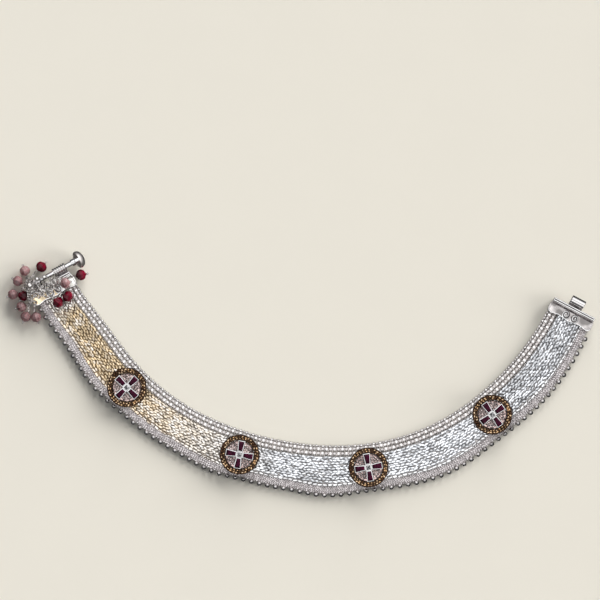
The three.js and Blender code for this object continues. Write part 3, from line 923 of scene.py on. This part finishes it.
def buildMedallions():
    cross = joined(fourArms(stepStone))
    models = {
        "ropeRing": (ringBody(), darkGold, "antique_gold", 45),
        "ropeGranules": (joined([ropeGranules(), lipBeads()]), antiqueGold, "antique_gold", 60),
        "settingPlate": (joined([plateBody(), paveClaws()]), paveSilver, "bright_silver", 40),
        "stoneBezels": (joined([bezel(squareCorners), *fourArms(bezel)]), trimSilver, "bright_silver", 30),
        "paveStones": (paveStones(), paveStone, "clear_glass", 0),
        "rubyCross": (cross, rubyStone, "ruby_glass", 0),
        "clearStone": (stepStone(squareCorners), clearStone, "clear_glass", 0),
    }
    for number, (station, tilt) in enumerate(medallions, 1):
        place = bandPlace(station, medallion["across"], medallion["base"]) @ turnZ(tilt)
        replaced = {
            "ropeRing": [f"medallion_{number}_ring"],
            "settingPlate": [f"medallion_{number}_plate"],
            "rubyCross": [f"ruby_{number}_{arm}" for arm in (1, 2, 3, 4)],
            "clearStone": [f"clear_stone_{number}"],
        }
        for name, (model, material, slotName, smooth) in models.items():
            piece = moved(newObject(name, model.data.copy()), place)
            finishPiece(piece, f"{name}{number}", material, nodes=replaced.get(name, ()), smooth=smooth)
    for row in models.values():
        bpy.data.objects.remove(row[0])


buildMedallions()
print("medallions done")


# end caps: x towards the band, y along the clasp's axis

cap = {
    "back": 2.5, "front": 8.4, "half": 9.3, "corner": 1.5, "cut": (0.5, 0.45), "dip": 0.6, "lobe": 4.6,
    "under": 2.95, "top": 3.6, "rim": 0.55, "rimRise": 0.15, "rimWire": 0.19, "rimInset": 0.16,
    "rimSteps": 23, "rimShort": 0.2, "edge": 0.09, "spineEdge": 0.15, "warmth": 0.8, "warmTo": 1.5,
    "spine": 1.0, "spineTop": 3.25, "taper": 0.085, "taperFrom": 5, "axisHeight": 3.7,
    "endDrop": 0.42, "endFrom": 5.2, "frontDrop": 0.16, "frontFrom": 6,
}


def frontEdge(y):  # the wavy edge towards the band
    half, front, corner = cap["half"], cap["front"], cap["corner"]
    rows = [
        (0, front), (cap["lobe"], front - cap["dip"]), (half - corner, front),
        (half - cap["cut"][0], front - cap["cut"][1]), (half, front - corner),
    ]
    return between(rows, abs(y))


def capDrop(x, y):  # hammered down a little at both ends and along the front
    toEnd = max(0.0, (abs(y) - cap["endFrom"]) / (cap["half"] - cap["endFrom"]))
    toFront = max(0.0, (x - cap["frontFrom"]) / (cap["front"] - cap["frontFrom"]))
    return cap["endDrop"] * toEnd ** 2 + cap["frontDrop"] * toFront ** 2


def capPlate():
    piece = begin(bpy.ops.mesh.primitive_grid_add, x_subdivisions=14, y_subdivisions=44, size=1)
    for vertex in piece.data.vertices:
        y = vertex.co.y * 2 * cap["half"]
        x = cap["back"] + (vertex.co.x + 0.5) * (frontEdge(y) - cap["back"])
        vertex.co = (x, y, cap["top"])
    useModifier(piece, "SOLIDIFY", thickness=cap["top"] - cap["under"], offset=-1)
    outward(piece)

    def onRim(co, normal):
        far = frontEdge(co.y) - co.x < cap["rim"] or abs(co.y) > cap["half"] - cap["rim"]
        return facesUp(co, normal) and far

    pick(piece, "FACE", onRim)
    extrude(z=cap["rimRise"])
    done()
    useModifier(piece, "BEVEL", width=cap["edge"], segments=2, limit_method="ANGLE", angle_limit=math.radians(50))
    for vertex in piece.data.vertices:
        vertex.co.z -= capDrop(vertex.co.x, vertex.co.y)
        toBar = max(0.0, (cap["taperFrom"] - vertex.co.x) / (cap["taperFrom"] - cap["back"]))
        vertex.co.y *= 1 - cap["taper"] * toBar
    return piece


def capRim():  # a bright wire along the wavy front
    points = []
    for i in range(2 * cap["rimSteps"] + 1):
        y = (i / cap["rimSteps"] - 1) * (cap["half"] - cap["rimShort"])
        x = frontEdge(y) - cap["rimInset"]
        points.append((x, y, cap["top"] + cap["rimRise"] - capDrop(x, y)))
    return tube(points, cap["rimWire"])


def capSpine():  # the closed back of the hood
    centre = (cap["back"] + cap["spine"] / 2, 0, cap["spineTop"] / 2)
    size = (cap["spine"], 2 * cap["half"] * (1 - cap["taper"]), cap["spineTop"])
    return block(size, cap["spineEdge"], centre, 2)


capBars = {"radius": 0.24, "half": 8.9, "places": (2.62, 3.4), "height": 3.85, "round": 0.12}


def capBar():  # two round wires side by side
    radius, half, edge = capBars["radius"], capBars["half"], capBars["round"]
    wires = []
    for x in capBars["places"]:
        wire = lathe(
            [
                (0, -half), (radius - edge, -half), (radius, -half + edge),
                (radius, half - edge), (radius - edge, half), (0, half),
            ],
            16,
        )
        wires.append(moved(wire, Matrix.Translation((x, 0, capBars["height"])) @ turnX(90)))
    return joined(wires)


scrolls = {
    "place": 6.35, "apart": 1.85, "radius": 1.62, "tall": 1.1, "wire": 0.27, "lift": 0.14,
    "knob": 0.32, "knobFlat": 0.8, "start": -70, "turns": 1.6, "wind": 0.78, "steps": 48,
}


def scroll(side):  # a plain volute that winds in to a small ball
    points = []
    for i in range(scrolls["steps"] + 1):
        share = i / scrolls["steps"]
        angle = side * (math.radians(scrolls["start"]) + share * scrolls["turns"] * math.tau)
        radius = scrolls["radius"] * (1 - scrolls["wind"] * share)
        x = scrolls["place"] + scrolls["tall"] * radius * math.cos(angle)
        y = side * scrolls["apart"] + radius * math.sin(angle)
        points.append((x, y, cap["top"] + scrolls["lift"] - capDrop(x, y)))
    wire = tube(points, scrolls["wire"])
    return joined([wire, sphere(scrolls["knob"], 12, 8, (1, 1, scrolls["knobFlat"]), points[-1])])


capShadeParts = {
    "strips": (capBars["places"], (3.95, 4.75)), "half": 8.5, "thick": 0.12, "edge": 0.04,
    "discThick": 0.08, "discEdge": 0.02, "beads": 30, "bead": 0.24, "beadShape": (1, 0.8, 0.6),
    "beadLift": 0.06, "shift": 0.08, "spinSway": 40, "tones": (-0.3, 0.1),
}


# all of it near black: painted shade in the creases by the bar and behind the scrolls
def paintedCapShade():  # dark lines under and beside the bar, milled beads, and a dark ground inside each scroll
    half, top = capShadeParts["half"], cap["top"]
    dark = []
    for left, right in capShadeParts["strips"]:
        middle = (left + right) / 2
        size = (right - left, 2 * half, capShadeParts["thick"])
        dark.append(block(size, capShadeParts["edge"], (middle, 0, top)))
    bead = sphere(capShadeParts["bead"], 6, 4, capShadeParts["beadShape"])
    step = 2 * half / capShadeParts["beads"]
    places = []
    for i in range(capShadeParts["beads"]):  # along the middle of the last strip
        spot = (middle + sway(capShadeParts["shift"]), -half + (i + 0.5) * step, top + capShadeParts["beadLift"])
        places.append(Matrix.Translation(spot) @ turnZ(sway(capShadeParts["spinSway"])))
    for side in (-1, 1):
        disc = begin(
            bpy.ops.mesh.primitive_cylinder_add, vertices=28, radius=scrolls["radius"],
            depth=capShadeParts["discThick"], location=(scrolls["place"], side * scrolls["apart"], top),
        )
        bpy.ops.object.transform_apply(location=True)
        editAll()
        bpy.ops.mesh.bevel(offset=capShadeParts["discEdge"], segments=1, affect="EDGES")
        done()
        for vertex in disc.data.vertices:
            vertex.co.z -= capDrop(vertex.co.x, vertex.co.y)
        dark.append(disc)
    return joined([*dark, copies(bead, places, randomFor(places, capShadeParts["tones"]))])


knuckle = {
    "radius": 1.65, "bore": 1.2, "round": 0.12, "groove": 0.4, "margin": 0.25,
    "grooveShadeTone": -0.9, "tone": 0.2, "web": 1.75, "webDrop": 1.325, "webLong": 1.7, "webThick": 0.65, "webEdge": 0.08,
}


def knuckleTube(start, end, grooves):  # a hinge tube; a grooved one has fine rings turned into it
    outer, bore, edge = knuckle["radius"], knuckle["bore"], knuckle["round"]
    floor = outer - knuckle["groove"]
    profile = [(bore, start), (outer - edge, start), (outer, start + edge)]
    for i in range(grooves):
        pitch = (end - start - 2 * knuckle["margin"]) / grooves
        along = start + knuckle["margin"] + i * pitch
        profile += [
            (outer, along + 0.1 * pitch), (floor, along + 0.25 * pitch),
            (floor, along + 0.55 * pitch), (outer, along + 0.7 * pitch),
        ]
    profile += [(outer, end - edge), (outer - edge, end), (bore, end), (bore, start)]
    piece = lathe(profile, 32)
    # groove bottoms and the bore painted dark, painted shade, and the ribs a little lighter
    reach = [math.hypot(vertex.co.x, vertex.co.y) for vertex in piece.data.vertices]
    tones = [knuckle["grooveShadeTone"] if radius < floor + 0.1 else knuckle["tone"] for radius in reach]
    mark(piece.data, "tone", tones)
    return moved(piece, Matrix.Translation((0, 0, cap["axisHeight"])) @ turnX(-90))


def knuckleWeb(start, end):  # the tongue that joins a knuckle to the spine
    centre = (knuckle["web"], (start + end) / 2, cap["axisHeight"] - knuckle["webDrop"])
    return block((knuckle["webLong"], end - start, knuckle["webThick"]), knuckle["webEdge"], centre)


# painted highlights and painted shade on the plain face: x, y, reach, how much lighter
faceLightAndShade = [
    (4.7, -4.3, 1.5, 0.5), (6.3, -4.6, 1.3, -0.4), (4.6, -7.9, 1.2, -0.5),
    (4.7, 5.8, 2.2, -0.55), (7.0, 6.6, 1.4, 0.15), (6.0, 0, 2.0, 0.1),
]


def paintedFaceLight(spot):
    tone = 0
    for x, y, reach, gain in faceLightAndShade:
        tone += gain * math.exp(-((spot.x - x) ** 2 + (spot.y - y) ** 2) / reach ** 2)
    return tone


def endCap(name, node, place, hinges, paintedWarmSheen):  # a hinge is its tube's ends, grooves and its web's ends
    face = joined([capPlate(), capSpine()])
    spots = [vertex.co for vertex in face.data.vertices]
    # painted warm reflection on the left cap's face, up to warmTo along the axis
    warmth = [cap["warmth"] if paintedWarmSheen and spot.y < cap["warmTo"] else 0 for spot in spots]
    mark(face.data, "warm", warmth)
    # painted highlights and shade on the right cap's face only
    mark(face.data, "tone", [0 if paintedWarmSheen else paintedFaceLight(spot) for spot in spots])
    faceMetal = warmSheenSilver if paintedWarmSheen else capSilver
    finishPiece(moved(face, place), name, faceMetal, nodes=[node], smooth=40)
    trim = [capBar(), capRim(), scroll(-1), scroll(1)]
    knuckles = [knuckleTube(*ends, grooves) for ends, grooves, webEnds in hinges]
    # the knuckle webs are near black too, painted shade under the knuckles
    dark = [paintedCapShade(), *(knuckleWeb(*webEnds) for ends, grooves, webEnds in hinges)]
    coats = {"Trim": (trim, trimSilver), "Knuckles": (knuckles, knuckleSilver), "ShadeMarks": (dark, shadeSilver)}
    for part, (pieces, coat) in coats.items():
        finishPiece(moved(joined(pieces), place), name + part, coat, smooth=40)


def capPlace(end, turn):  # on the clasp's axis at one end of the band
    x, y, heading = track[1:, end]
    return Matrix.Translation((x, y, 0)) @ Matrix.Rotation(heading + turn, 4, "Z")


leftPlace, rightPlace = capPlace(0, 0), capPlace(-1, math.pi)
leftHinges = [((3.1, 8.2), 5, (3.1, 8.2)), ((-7.6, -3.1), 4, (-6, -3.1))]
endCap("leftCap", "end_cap_left", leftPlace, leftHinges, paintedWarmSheen=True)
endCap("rightCap", "end_cap_right", rightPlace, [((-2.8, 2.8), 0, (-2.8, 2.8))], paintedWarmSheen=False)
print("end caps done")


# screw pin

pin = {
    "shaft": [
        (0, -4.6), (0.55, -4.6), (0.72, -4.35), (0.72, -0.2), (0.85, 0.0), (0.85, 11.1), (1.2, 11.1), (1.3, 11.2),
        (1.3, 12.5), (1.05, 12.7), (1.05, 14.9), (0, 14.9),
    ],
    "head": [  # a shallow cup, from the middle of its hollow over the lip to the middle of its back
        (0, 1.0), (1.3, 0.95), (2.2, 0.72), (2.85, 0.25), (3.0, -0.05), (3.2, -0.14), (3.38, 0.08),
        (3.4, 0.6), (3.25, 1.2), (2.85, 1.8), (2.1, 2.25), (1.1, 2.5), (0, 2.58),
    ],
    "lip": 13.6, "lean": -20, "hollow": (2.95, 1.05), "hollowShadeTone": -0.85, "tone": 0.1,
    "threadFrom": -4.3, "threadTo": -0.4, "threadPitch": 0.42, "threadRadius": 0.7, "threadWire": 0.13, "steps": 20,
}


def pinThread():  # one helical ridge round the tip
    points = []
    radius, steps = pin["threadRadius"], pin["steps"]
    turns = (pin["threadTo"] - pin["threadFrom"]) / pin["threadPitch"]
    for i in range(int(turns * steps) + 1):
        angle = math.tau * i / steps
        height = pin["threadFrom"] + pin["threadPitch"] * i / steps
        points.append((radius * math.cos(angle), radius * math.sin(angle), height))
    return tube(points, pin["threadWire"])


def screwPin():
    place = leftPlace @ Matrix.Translation((0, 0, cap["axisHeight"])) @ turnX(-90)
    shaft = moved(joined([lathe(pin["shaft"], 32), pinThread()]), place)
    finishPiece(shaft, "screwPin", brightSilver, body="pin", nodes=["screw_pin"], smooth=40)
    head = lathe(pin["head"], 48)
    radius, depth = pin["hollow"]
    # the inside of the hollow is painted dark, painted shade in the cup
    tones = []
    for vertex in head.data.vertices:
        inside = math.hypot(vertex.co.x, vertex.co.y) < radius and vertex.co.z < depth
        tones.append(pin["hollowShadeTone"] if inside else pin["tone"])
    mark(head.data, "tone", tones)
    moved(head, place @ Matrix.Translation((0, 0, pin["lip"])) @ turnX(pin["lean"]))
    finishPiece(head, "pinHead", satinSilver, body="pin", smooth=50)


screwPin()
print("screw pin done")


# tassel: fine chains from a hub on the far knuckle, each to a bead on a head pin

tassel = {
    "along": -7.1, "ring": 2.1, "ringWire": 0.25, "hub": (0, -7.1, 6.65), "hubRadius": 1.2, "flat": 0.78,
    "seam": 0.12, "seamWide": 0.04, "seamRise": 0.06,
    "strayBalls": [(-0.85, -3.5, 6.05, 0.85), (-0.25, -0.7, 5.3, 0.8)],  # place and radius
    "linkRadius": 0.312, "linkLong": 1.4, "linkWire": 0.115, "linkPitch": 0.6, "linkSway": 20,
    "pinWire": 0.17, "pinBack": 0.3, "tip": 0.42, "tipFlat": 0.94, "eye": 0.36, "eyeWire": 0.13, "eyeBack": 0.1,
    "clear": 0.4, "headpin": 0.45, "pinRise": 0.22,
    "loops": ((4.55, 0), (4.95, 0.7)),  # height and shift along the cap
    "loopTurns": 7, "loopSides": (1.6, 4.9), "loopStart": -5.9, "loopPitch": 1.45, "loopSway": 0.3,
    "loopEntry": -6.6, "loopRise": 0.9, "loopStep": 0.5,
    "tones": (-0.2, 0.15),
}
beadKinds = {
    "pink": {"radius": 1.95, "sides": 10, "squash": 0.99, "material": roseBead, "slot": "rose_glass"},
    "ruby": {"radius": 2.1, "sides": 9, "squash": 0.94, "material": rubyBead, "slot": "ruby_glass"},
}
beadFit = {"bore": 0.3, "rings": 7, "swell": 1.05, "spin": 40}
drops = [  # kind, bead's place, the point that it hangs towards, and where its slack chain wanders
    ("pink", (-6.1, -6.5, 1.95), (-2.1, -7, 5.3), [(-1.6, -7.8, 5.9), (-2.5, -6.4, 4.8), (-3, -7.3, 3.6)]),
    ("pink", (-3.9, -10.8, 1.95), (-0.6, -8.4, 4.6), [(-0.9, -8.2, 5.4), (-0.4, -9.4, 4.2), (-1.6, -8.7, 3.3)]),
    ("pink", (-0.2, -15, 1.95), (0.2, -9.8, 4.6), [(0.6, -8.8, 5.6), (-0.5, -10.4, 4.2), (0.5, -11.4, 3.2)]),
    ("pink", (5.6, -14.3, 1.95), (6.2, -11, 4), [(2.6, -9.6, 4.6), (4.8, -9.9, 4), (6, -10.9, 3.3)]),
    ("pink", (9.8, -14.7, 1.95), (7.6, -11.6, 3.9), [
        (1.8, -8.9, 5.7), (4.2, -8.8, 4.7), (3.8, -10.6, 3.7), (5.8, -10.2, 3.4), (6.8, -11.5, 2.9),
    ]),
    ("pink", (11.9, -11.2, 1.95), (8.2, -10.4, 4.1), [
        (2.6, -8.3, 5.6), (4.4, -7.3, 4.9), (5.2, -9.4, 4.4), (6.9, -8.5, 4.2), (8.2, -9.9, 3.5),
    ]),
    ("pink", (5.8, 5.3, 6.1), (4.6, -0.6, 5.2), [
        (1.8, -5.5, 5.6), (4.6, -5.8, 4.7), (2.4, -3.2, 4.6), (5.2, -2.2, 4.7), (2.6, 0.2, 4.6), (4.9, 1.4, 5),
    ]),
    ("ruby", (-4.4, -0.1, 2.1), (-2.9, -5.3, 5.7), [
        (-1.6, -6.2, 6.2), (-2.7, -5.3, 5.2), (-2.6, -4.2, 4.2), (-3.6, -3.5, 3.2),
    ]),
    ("ruby", (5.7, 12, 2.15), (4.4, 7.6, 5.9), [
        (1.2, -4.4, 5.9), (3.6, -4.4, 5.3), (1.7, -1.5, 5.2), (4, -0.4, 5.4),
        (1.9, 1.9, 5.3), (3.2, 4.2, 5.7), (4.3, 7.2, 5.6),
    ]),
    ("ruby", (10.7, 3.6, 4.9), (6.4, 0.8, 6), [
        (2.6, -6.4, 5.9), (5.6, -5, 5.2), (3.4, -3.6, 5.3), (6.3, -1.4, 5), (5.2, 0.6, 5.3), (7.2, 1.6, 5.4),
    ]),
    ("ruby", (11, -0.75, 4.9), (7, -2.4, 5.7), [
        (3, -7.4, 5.6), (6, -6.6, 5), (4.2, -5.2, 5.4), (6.8, -4, 4.9), (6.9, -2.5, 5.1),
    ]),
    ("ruby", (2.2, -11.6, 2.1), (0.5, -8.2, 5), [(1.3, -8.1, 5.7), (0.2, -8.9, 4.4), (1.1, -9.2, 3.4)]),
]


def smoothRoute(stops):  # a curve through the stops
    ends = [stops[0] * 2 - stops[1], *stops, stops[-1] * 2 - stops[-2]]
    route = []
    for a, b, c, d in zip(ends, ends[1:], ends[2:], ends[3:]):
        for i in range(12):
            t = i / 12
            route.append(0.5 * (
                2 * b + (c - a) * t + (2 * a - 5 * b + 4 * c - d) * t ** 2
                + (3 * b - a - 3 * c + d) * t ** 3
            ))
    return route + [stops[-1]]


def pinAxis(centre, via):  # the way a bead's head pin runs, nearly level
    axis = Vector(centre) - Vector(via)
    axis.z *= tassel["pinRise"]
    return axis.normalized()


def alongRoute(route, pitch):  # even steps along a route, with the way it runs there
    spots, left = [], 0.0
    for a, b in zip(route, route[1:]):
        run = (b - a).length
        while left < run:
            spots.append((a.lerp(b, left / run), (b - a).normalized()))
            left += pitch
        left -= run
    return spots


def chainLink():
    link = wireRing(tassel["linkRadius"], tassel["linkWire"], 10, 5)
    editAll()
    resize(tassel["linkLong"], 1, 1)
    done()
    return link


def linkPlaces(route):  # every other link is turned on edge
    places = []
    for i, (spot, way) in enumerate(alongRoute(route, tassel["linkPitch"])):
        turn = turnX(90 * (i % 2) + sway(tassel["linkSway"]))
        places.append(Matrix.Translation(spot) @ pointed(way, "X", "Z") @ turn)
    return places


def loopStops(height, shift):  # to and fro over the cap
    left, right = tassel["loopSides"]
    stops = [Vector((left, tassel["loopEntry"], height + tassel["loopRise"]))]
    for turn in range(tassel["loopTurns"]):
        near, far = (left, right) if turn % 2 else (right, left)
        y = tassel["loopStart"] + shift + tassel["loopPitch"] * turn
        stops.append(Vector((near + sway(tassel["loopSway"]), y, height)))
        stops.append(Vector((far + sway(tassel["loopSway"]), y + tassel["loopStep"], height)))
    return stops


def hubBalls():  # a ball where the chains meet, and smaller ones that lie along the pin
    balls = []
    for x, y, z, radius in [(*tassel["hub"], tassel["hubRadius"]), *tassel["strayBalls"]]:
        ball = sphere(radius, 16, 10, (1, 1, tassel["flat"]), (x, y, z))
        pick(ball, "FACE", lambda co, normal: abs(co.z - z) < tassel["seam"] * radius)
        bpy.ops.mesh.inset(thickness=tassel["seamWide"], depth=tassel["seamRise"])
        done()
        balls.append(ball)
    return balls


def tasselChains():
    places, pins = [], []
    hub = Vector(tassel["hub"])
    for kind, centre, via, slack in drops:
        axis, radius = pinAxis(centre, via), beadKinds[kind]["radius"]
        entry = Vector(centre) - axis * (radius + tassel["clear"])
        tip = Vector(centre) + axis * (radius + tassel["headpin"])
        places += linkPlaces(smoothRoute([hub, *map(Vector, slack), entry]))
        pins.append(tube([entry - axis * tassel["pinBack"], tip], tassel["pinWire"]))
        pins.append(sphere(tassel["tip"], 10, 7, (1, 1, tassel["tipFlat"]), tip))
        eye = wireRing(tassel["eye"], tassel["eyeWire"], 12, 6)
        eyePlace = Matrix.Translation(entry - axis * tassel["eyeBack"])
        pins.append(moved(eye, eyePlace @ pointed(axis, "X", "Z") @ turnX(90)))
    places += linkPlaces(smoothRoute([hub, *(Vector(spot[:3]) for spot in tassel["strayBalls"])]))
    for height, shift in tassel["loops"]:
        places += linkPlaces(smoothRoute([hub, *loopStops(height, shift)]))
    chains = copies(chainLink(), places, randomFor(places, tassel["tones"]))
    ring = wireRing(tassel["ring"], tassel["ringWire"], 32, 8)
    moved(ring, Matrix.Translation((0, tassel["along"], cap["axisHeight"])) @ turnX(90))
    piece = moved(joined([chains, ring, *pins, *hubBalls()]), leftPlace)
    finishPiece(piece, "tasselChains", tasselSilver, nodes=["tassel_chains"], smooth=60)


def boredBead(radius, bore, sides, rings):  # a bead with its hole along z
    bead = sphere(radius, sides, rings)
    pick(bead, "VERT", lambda co: abs(co.z) > radius * 0.999)
    bpy.ops.mesh.delete(type="VERT")
    done()
    top = max(vertex.co.z for vertex in bead.data.vertices)
    for vertex in bead.data.vertices:
        if abs(vertex.co.z) > top - 0.001:
            spread = math.hypot(vertex.co.x, vertex.co.y)
            vertex.co.x *= bore / spread
            vertex.co.y *= bore / spread
            vertex.co.z = math.copysign(math.sqrt(radius ** 2 - bore ** 2), vertex.co.z)
    pick(bead, "VERT", lambda co: math.hypot(co.x, co.y) < bore + 0.001)
    bpy.ops.mesh.select_mode(type="EDGE")
    bpy.ops.mesh.bridge_edge_loops()
    done()
    outward(bead)
    return bead


def buildBeads():
    counts = {"pink": 0, "ruby": 0}
    for name, centre, via, slack in drops:
        kind = beadKinds[name]
        counts[name] += 1
        bead = boredBead(kind["radius"] * beadFit["swell"], beadFit["bore"], kind["sides"], beadFit["rings"])
        place = leftPlace @ Matrix.Translation(centre) @ pointed(pinAxis(centre, via), "Z", "Y")
        squash = Matrix.Diagonal((1, 1, kind["squash"], 1))
        moved(bead, place @ turnZ(rng.uniform(0, beadFit["spin"])) @ squash)
        node = f"{name}_bead_{counts[name]}"
        finishPiece(bead, f"{name}Bead{counts[name]}", kind["material"], nodes=[node], smooth=0)


tasselChains()
buildBeads()
print("tassel done")


# floor, light and camera

stageSettings = {
    "floor": (0.812, 0.783, 0.704), "floorDrop": 0.0001, "floorScale": 40, "floorSpread": (0.99, 1.01),
    "frameWide": 0.234, "lookAt": (0.0, 0.0295), "cameraHeight": 1.2, "focusHeight": 0.002, "sensor": 36,
    # strength, spread, azimuth, height
    "keys": [(2.35, 30, -8, 15), (3.4, 30, 35, 16), (3.15, 32, 78, 16)], "keyColor": (1.0, 0.98, 0.95),
    "fill": (0.75, 150, 90, 80), "fillColor": (0.97, 0.98, 1.0), "lightDistance": 1.5,
    # what the camera sees past the floor, and the tent that the metal reflects
    "background": (0.8, 0.76, 0.68), "roomStrength": 1.8, "roomTilt": 14, "roomColor": (0.97, 0.985, 1.0),
    "room": [(0.0, 0.04), (0.3, 0.12), (0.55, 0.45), (0.74, 0.95), (1.0, 1.0)],  # brightness by height
    # the camera's own dark reflection straight above, and uneven patches of the tent
    "hole": {"From Min": 0.984, "From Max": 0.996, "To Min": 1, "To Max": 0.3},
    "uneven": {"From Min": 0.3, "From Max": 0.7, "To Min": 0.55, "To Max": 1.15}, "unevenScale": 2.2,
}


def scaled(colour, level):
    return tuple(level * c for c in colour)


def buildFloor():
    floor = begin(bpy.ops.mesh.primitive_plane_add, size=6, location=(0, 0, -stageSettings["floorDrop"]))
    floor.name = "floor"
    material, tree, shader = newMaterial("pale floor", {"Roughness": 0.9, "Specular IOR Level": 0.1})
    place = addNode(tree, "ShaderNodeTexCoord", -800, 0)
    mottle = addNode(tree, "ShaderNodeTexNoise", -600, 0, {"Scale": stageSettings["floorScale"]})
    ramp = addNode(tree, "ShaderNodeValToRGB", -350, 0)
    low, high = stageSettings["floorSpread"]
    setRamp(ramp, [(0, scaled(stageSettings["floor"], low)), (1, scaled(stageSettings["floor"], high))])
    connect(tree, (
        (place, "Object", mottle, "Vector"), (mottle, "Fac", ramp, "Fac"), (ramp, "Color", shader, "Base Color"),
    ))
    floor.data.materials.append(material)
    floor.visible_glossy = False  # unseen in the metal, which keeps its contrast


def softSun(name, colour, strength, spread, azimuth, height):  # lights the matt surfaces, unseen in the metal
    light = newObject(name, bpy.data.lights.new(name, "SUN"))
    light.data.energy = strength
    light.data.angle = math.radians(spread)
    light.data.color = colour
    light.visible_glossy = False
    a, h = math.radians(azimuth), math.radians(height)
    way = Vector((math.cos(a) * math.cos(h), math.sin(a) * math.cos(h), math.sin(h)))
    light.location = way * stageSettings["lightDistance"]
    light.rotation_euler = way.to_track_quat("Z", "Y").to_euler()


def buildRoom():  # what the metal and the stones reflect: a bright tent overhead, darker towards the table
    world = bpy.data.worlds.new("studio")
    world.use_nodes = True
    tree = world.node_tree
    strength = stageSettings["roomStrength"]
    tilt = math.radians(stageSettings["roomTilt"])
    up = {1: (0, math.sin(tilt), math.cos(tilt))}
    behind = {"B": (*(c / strength for c in stageSettings["background"]), 1)}
    shine = tree.nodes["Background"]
    way = addNode(tree, "ShaderNodeTexCoord", -1300, 0)
    height = addNode(tree, "ShaderNodeVectorMath", -1050, 150, up, operation="DOT_PRODUCT")
    ramp = addNode(tree, "ShaderNodeValToRGB", -850, 150)
    setRamp(ramp, [(place, scaled(stageSettings["roomColor"], level)) for place, level in stageSettings["room"]])
    split = addNode(tree, "ShaderNodeSeparateXYZ", -1050, -150)
    hole = addNode(tree, "ShaderNodeMapRange", -850, -150, stageSettings["hole"])
    mottle = addNode(tree, "ShaderNodeTexNoise", -1050, -350, {"Scale": stageSettings["unevenScale"]})
    uneven = addNode(tree, "ShaderNodeMapRange", -850, -400, stageSettings["uneven"])
    both = addNode(tree, "ShaderNodeMath", -620, -250, operation="MULTIPLY")
    lit = addNode(tree, "ShaderNodeVectorMath", -420, 50, operation="SCALE")
    path = addNode(tree, "ShaderNodeLightPath", -420, 400)
    seen = addNode(tree, "ShaderNodeMix", -200, 100, behind, data_type="RGBA")
    connect(tree, (
        (way, "Generated", height, 0), (way, "Generated", split, 0), (way, "Generated", mottle, "Vector"),
        (height, "Value", ramp, "Fac"), (split, "Z", hole, "Value"), (mottle, "Fac", uneven, "Value"),
        (hole, "Result", both, 0), (uneven, "Result", both, 1), (ramp, "Color", lit, 0), (both, 0, lit, "Scale"),
        (path, "Is Camera Ray", seen, "Factor"), (lit, 0, seen, "A"), (seen, "Result", shine, "Color"),
    ))
    shine.inputs["Strength"].default_value = strength
    world.cycles_visibility.diffuse = False
    bpy.context.scene.world = world


def buildLights():
    for key in stageSettings["keys"]:
        softSun("key light", stageSettings["keyColor"], *key)
    softSun("fill light", stageSettings["fillColor"], *stageSettings["fill"])


def buildCamera():
    camera = newObject("camera", bpy.data.cameras.new("camera"))
    distance = stageSettings["cameraHeight"] - stageSettings["focusHeight"]
    camera.location = (*stageSettings["lookAt"], stageSettings["cameraHeight"])
    camera.data.sensor_width = stageSettings["sensor"]
    camera.data.lens = stageSettings["sensor"] * distance / stageSettings["frameWide"]
    camera.data.clip_start = 0.01
    bpy.context.scene.camera = camera


buildFloor()
buildLights()
buildRoom()
buildCamera()
bpy.context.scene.view_settings.view_transform = "Standard"
print("stage done")

bpy.context.view_layer.update()
